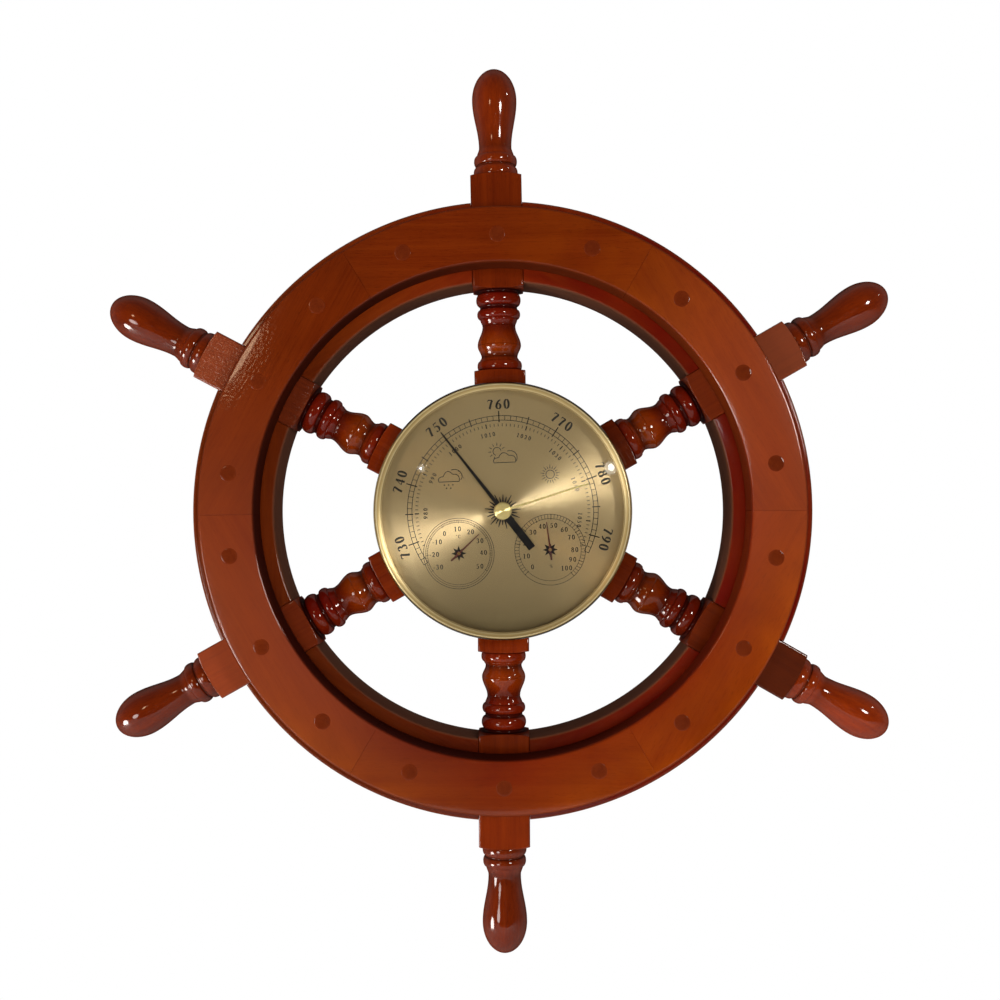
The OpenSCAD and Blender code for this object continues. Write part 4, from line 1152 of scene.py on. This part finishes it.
def number(ink, text, x, y, height, turn=0.0, thick=0.17, thin=0.055, pitch=0.8):
    """Writes plain numbers with a broad pen: upright strokes are thick and level ones thin."""
    stretch = 1.15
    narrow = "-°"
    rooms = [pitch * (0.6 if letter in narrow else 1.0) for letter in text]
    at = -sum(rooms) / 2
    c = math.cos(turn)
    s = math.sin(turn)

    def lay(line, left):
        return [(x + height * ((left + px * stretch) * c - (py - 0.5) * s),
                 y + height * ((left + px * stretch) * s + (py - 0.5) * c)) for px, py in line]

    for letter, room in zip(text, rooms):
        pen, bars, dots, closed = SIGNS[letter]
        left = at if letter in narrow else at + (room - 0.5 * stretch) / 2
        for line in pen:
            path = np.array(line)
            way = np.roll(path, -1, 0) - np.roll(path, 1, 0) if closed else np.gradient(path, axis=0)
            upright = np.abs(way[:, 1]) / np.hypot(way[:, 0] * stretch, way[:, 1])
            ink.stroke(lay(line, left), height * (thin + (thick - thin) * upright ** 1.5), closed)
        for line, width in bars:
            ink.stroke(lay(line, left), height * max(width, thin))
        for px, py, r in dots:
            ink.dot(*lay([(px, py)], left)[0], r * height)
        at += room


def marks_tree():
    """Short strokes round a centre, at a steady step."""
    g = Geometry("scale_marks", ["First", "Step", "Inner", "Outer", "Width", "Thick", "Level",
                                 "Centre X", "Centre Y"], counts=["Count"])
    inner = g.given("Inner")
    outer = g.given("Outer")
    spots = g.made("Points", Count=g.given("Count"))
    angle = g.given("First") + g.given("Step") * g.index()
    radius = (inner + outer) * 0.5
    spot = g.vector(g.given("Centre X") + radius * angle.cosine(), g.given("Level") * -1.0,
                    g.given("Centre Y") + radius * angle.sine())
    spots = g.made("SetPosition", Geometry=spots, Position=spot)
    size = g.vector(outer - inner, g.given("Thick"), g.given("Width"))
    return g.done(g.made(
        "InstanceOnPoints", Points=spots, Instance=g.made("MeshCube", Size=size),
        Rotation=g.vector(0.0, angle * -1.0, 0.0)))


def marks(tree, name, count, first, per_mark, inner, outer, width, centre=(0, 0)):
    """Marks of one length, angles in degrees in the dial's frame."""
    x, y = on_dial(*centre)
    return grown(tree, name, {
        "Count": count, "First": math.radians(first) + dial_turn, "Step": math.radians(per_mark),
        "Inner": inner * mm, "Outer": outer * mm, "Width": width * mm,
        "Thick": (ink_top - ink_base) * mm, "Level": (ink_top + ink_base) / 2 * mm,
        "Centre X": x * mm, "Centre Y": y * mm, "Material": print_ink})


def round_numbers(ink, values, angle_of, r, height, **pen):
    """Numbers that stand round the dial's middle, their feet towards it."""
    for value in values:
        a = math.radians(angle_of(value))
        number(ink, str(value), *polar(r, a), height, a - math.pi / 2, **pen)


def pressure_scale(ink, tree):
    """Pressure in millimetres of mercury outside, in hectopascals inside."""
    per_mercury = 3.59
    mercury_in_hpa = 1.33322
    per_hpa = per_mercury / mercury_in_hpa
    low = 726
    high = 793
    first_hpa = 972

    def at(mercury):
        return 90 - (mercury - 760) * per_mercury

    def at_hpa(pressure):
        return at(pressure / mercury_in_hpa)

    for r in (45.05, 47.3):
        ink.ring(0, 0, r, 0.32, at(low), at(high))
    round_numbers(ink, range(730, 791, 10), at, 53.0, 4.75, thick=0.225, thin=0.065, pitch=0.86)
    round_numbers(ink, range(980, 1051, 10), at_hpa, 38.3, 2.0, thick=0.2, thin=0.11, pitch=1.0)
    return [
        marks(tree, "cells", high - low + 1, at(low), -per_mercury, 45.0, 47.35, 0.27),
        marks(tree, "fives", 13, at(730), -5 * per_mercury, 44.4, 48.4, 0.5),
        marks(tree, "tens", 7, at(730), -10 * per_mercury, 44.1, 49.7, 0.55),
        marks(tree, "hectopascals", 85, at_hpa(first_hpa), -per_hpa, 42.0, 43.4, 0.3),
        marks(tree, "hectopascal_tens", 8, at_hpa(980), -10 * per_hpa, 41.5, 43.7, 0.55)]


def small_numbers(ink, x, y, places):
    """Upright numbers round a small dial, each with its angle in degrees."""
    for value, angle in places.items():
        number(ink, str(value), *polar(12.2, math.radians(angle), x, y), 2.35,
               thick=0.19, thin=0.09, pitch=0.86)


def thermometer_scale(ink, tree):
    """Degrees Celsius from -30 to 50."""
    x = -small_x
    y = small_y
    inner = 15.5
    outer = 16.5
    first = 211.3
    per_degree = 3.0625
    ink.ring(x, y, 17.5, 0.26)
    ink.ring(x, y, outer, 0.2)
    ink.ring(x, y, inner, 0.2)
    small_numbers(ink, x, y, {
        -30: 211.3, -20: 180, -10: 149.6, 0: 123.4, 10: 91.1, 20: 59.3, 30: 28.9, 40: -0.1, 50: -33.7})
    number(ink, "°C", x, y + 8.4, 1.7, thick=0.15, thin=0.08)
    ink.star(x, y)
    return [marks(tree, "degrees", 81, first, -per_degree, inner, outer, 0.13, (x, y)),
            marks(tree, "ten_degrees", 9, first, -10 * per_degree, inner - 0.5, outer, 0.25, (x, y))]


def hygrometer_scale(ink, tree):
    """Relative humidity from 0 to 100 per cent."""
    x = small_x
    y = small_y
    inner = 15.4
    outer = 17.55
    first = 222.6
    per_mark = 5.452
    ink.ring(x, y, outer, 0.24)
    ink.ring(x, y, inner, 0.2)
    small_numbers(ink, x, y, {
        0: 222, 10: 192.6, 20: 162, 30: 132.3, 40: 106.6, 50: 79.2, 60: 52.8, 70: 28.2, 80: -2.4,
        90: -25.9, 100: -50.6})
    number(ink, "%", x, y - 8.2, 1.7, thick=0.15, thin=0.08)
    ink.star(x, y)
    return [marks(tree, "per_cent", 51, first, -per_mark, inner, outer, 0.2, (x, y)),
            marks(tree, "tens_per_cent", 11, first, -5 * per_mark, inner - 0.5, outer, 0.28, (x, y))]


def cloud(ink, x, y, width, height, line):
    """Outline of a cloud with a flat foot and three humps, drawn in shares of its size."""
    def at(across, up):
        return x + across * width, y + up * height

    outline = []
    for hump in (((-0.5, 0), (-0.6, 0.5), (-0.28, 0.55)),
                 ((-0.28, 0.55), (-0.1, 1.45), (0.2, 0.75)),
                 ((0.2, 0.75), (0.58, 0.8), (0.5, 0))):
        outline += curved(*(at(*point) for point in hump))
    ink.stroke(outline, line)
    ink.stroke([at(-0.5, 0), at(0.5, 0)], line)


def weather_signs(ink):
    """Rain, a bright spell and sun, as plain signs."""
    line = 0.36
    cloud(ink, -26.0, 15.6, 10.0, 4.8, line)
    ink.stroke(curved((-24.8, 21.4), (-20.2, 22.6), (-18.2, 18.0), (-20.2, 16.4)), line)
    for i in range(4):
        ink.stroke([(-21.6 + 0.8 * i, 20.4 - 0.9 * i), (-20.2 + 0.6 * i, 20.6 - 1.2 * i)], 0.18)
    for drops, x, y in ((3, -28.4, 14.0), (2, -27.4, 12.4)):
        for i in range(drops):
            ink.dot(x + 2.1 * i, y, 0.36)
    half_sun = (-1.6, 29.6)
    ink.ring(*half_sun, 2.0, line, 10, 250)
    for i in range(8):
        a = math.radians(28 + 31 * i)
        ink.stroke([polar(r, a, *half_sun) for r in (2.9, 4.4)], [0.4, 0.2])
    cloud(ink, 2.0, 24.0, 10.6, 4.6, line)
    ink.stroke(curved((3.4, 29.6), (7.6, 30.6), (9.2, 26.6), (7.6, 24.4)), line)
    sun = (24.2, 17.2)
    ink.ring(*sun, 2.1, line)
    ink.rays(*sun, 2.9, (5.0, 4.3), 18, 0.46, 0.3, 90)


def make_print():
    """Scales, weather signs and the rays round the knob, as one piece."""
    ink = Ink()
    tree = marks_tree()
    pieces = pressure_scale(ink, tree) + thermometer_scale(ink, tree) + hygrometer_scale(ink, tree)
    weather_signs(ink)
    ink.rays(0, 0, 4.6, (9.0, 7.2, 8.2, 7.0), 26, 0.95, 0.35, 4)
    drawn = mesh_object("ink", ink.verts, ink.faces, print_ink, smooth=False)
    finished("dial_print", joined([drawn] + pieces), "instrument")


def dress_cad_nodes():
    """Materials of the CAD pieces that stay."""
    dressed = {
        hub_wood: ["hub_body"],
        clear_glass: ["glass"],
        brass: ["hanger_plate", "hanger_screws", "back_plate", "front_plate", "pillars", "rocker",
                "sector_gear", "baro_arbor", "arbor_cock", "adjusting_screw", "glass_bush",
                "coil_brackets", "thermo_arbor", "hygro_arbor"],
        polished_brass: ["spacer_ring"],
        pale_brass: ["set_hand"],
        tinplate: ["case_cup", "aneroid_capsule"],
        steel: ["hub_screws", "main_spring", "hairspring"],
        bimetal: ["thermo_coil", "hygro_coil"],
        rubber: ["grip_ring", "glass_gasket"],
        black_lacquer: ["baro_hand"],
        brown_lacquer: ["thermo_hand", "hygro_hand"]}
    for material, nodes in dressed.items():
        for node in nodes:
            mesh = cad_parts[node].data
            mesh.materials.clear()
            mesh.materials.append(material)


# Camera, lamps and room, in metres

def make_camera():
    """Camera straight in front of the wheel, its frame shifted a little as the photograph's is."""
    away = 0.646
    data = bpy.data.cameras.new("camera")
    data.sensor_width = 36
    data.lens = 43.2
    data.shift_x = -0.0028
    data.shift_y = 0.011
    data.clip_start = 0.01
    camera = bpy.data.objects.new("camera", data)
    camera.location = (0, -away, 0)
    camera.rotation_euler = (math.pi / 2, 0, 0)
    bpy.context.scene.collection.objects.link(camera)
    bpy.context.scene.camera = camera


def lamp(name, where, size, power, colour=(1, 1, 1), mirrored=True):
    """Round lamp aimed at the wheel's middle. One that isn't mirrored leaves no glint."""
    data = bpy.data.lights.new(name, "AREA")
    data.shape = "DISK"
    data.size = size
    data.energy = power
    data.color = colour
    obj = in_scene(name, data)
    obj.location = where
    obj.rotation_euler = (-Vector(where)).to_track_quat("-Z", "Y").to_euler()
    obj.visible_camera = False
    obj.visible_glossy = mirrored


def make_lamps():
    """Broad fills that leave no glint, lamps that gloss mirrors, and two glints in the glass."""
    lamp("front_fill", (0.1, -2.1, -0.35), 1.0, 21, mirrored=False)
    lamp("left_window", (-1.55, -0.62, 0.45), 0.5, 4, mirrored=False)
    lamp("low_left_lamp", (-0.95, -0.42, -0.5), 0.34, 7)
    lamp("dial_lamp", (-0.95, -1.5, -0.32), 0.46, 5)
    lamp("right_lamp", (0.9, -1.5, 0.32), 0.3, 10)
    lamp("back_fill", (0.3, 2.1, 0.8), 1.0, 16, mirrored=False)
    lamp("upper_right_lamp", (1.5, -0.57, 0.84), 0.08, 1)
    lamp("upper_left_lamp", (-0.75, -1.75, 0.45), 0.2, 1.3, (1, 0.72, 0.46))
    lamp("glass_lamp_right", (0.2235, -1.94, 0.0896), 0.01, 0.009)
    lamp("glass_lamp_right_halo", (0.2235, -1.95, 0.0896), 0.026, 0.005)
    lamp("glass_lamp_left", (-0.1687, -1.94, 0.088), 0.005, 0.0022)
    lamp("glass_lamp_left_halo", (-0.1687, -1.95, 0.088), 0.014, 0.0014)


def make_room():
    """White room. To gloss it is dim behind the object and dark in front, where the viewer is."""
    world = bpy.data.worlds.new("room")
    world.use_nodes = True
    world.node_tree.nodes.clear()
    room = Tree(world.node_tree)

    def light(colour):
        return room.node("ShaderNodeBackground", sockets={"Color": colour}).outputs[0]

    way_back = room.parts(room.node("ShaderNodeTexCoord").outputs["Generated"])[1]
    mirrored = room.node("ShaderNodeValToRGB", {"stops": [
        (0.0, grey(0.02)), (0.14, grey(0.04)), (0.4, (0.12, 0.115, 0.11, 1)),
        (0.62, (0.26, 0.255, 0.25, 1))]}, {0: way_back * 0.5 + 0.5}).outputs[0]
    path = room.node("ShaderNodeLightPath").outputs
    seen = room.value(path["Is Camera Ray"]).greater_of(room.value(path["Is Transmission Ray"]))
    unseen = room.blend(path["Is Glossy Ray"], light(grey(0.07)), light(mirrored))
    room.node("ShaderNodeOutputWorld", sockets={0: room.blend(seen, unseen, light(grey(1)))})
    bpy.context.scene.world = world


def make_floor():
    """Pale floor well below the wheel, white where no shadow falls."""
    f = Finish("pale_floor")
    plain = f.node("ShaderNodeBsdfDiffuse", sockets={"Color": grey(0.85)}).outputs[0]
    glow = f.node("ShaderNodeEmission", sockets={"Color": grey(1), "Strength": 0.92}).outputs[0]
    both = f.node("ShaderNodeAddShader", sockets={0: plain, 1: glow}).outputs[0]
    camera_ray = f.node("ShaderNodeLightPath").outputs["Is Camera Ray"]
    material = f.done(f.blend(camera_ray, plain, both))
    low = -0.6
    near = -1.25
    far = 0.7
    half = 2.6
    corners = [(x, y, low) for x, y in ((-half, near), (half, near), (half, far), (-half, far))]
    floor = mesh_object("floor", corners, [(0, 1, 2, 3)], material, smooth=False)


make_spokes()
make_rim()
make_pegs()
make_bezel()
make_knob()
make_dial()
make_print()
dress_cad_nodes()
make_camera()
make_lamps()
make_room()
make_floor()
bpy.context.scene.view_settings.view_transform = "Standard"
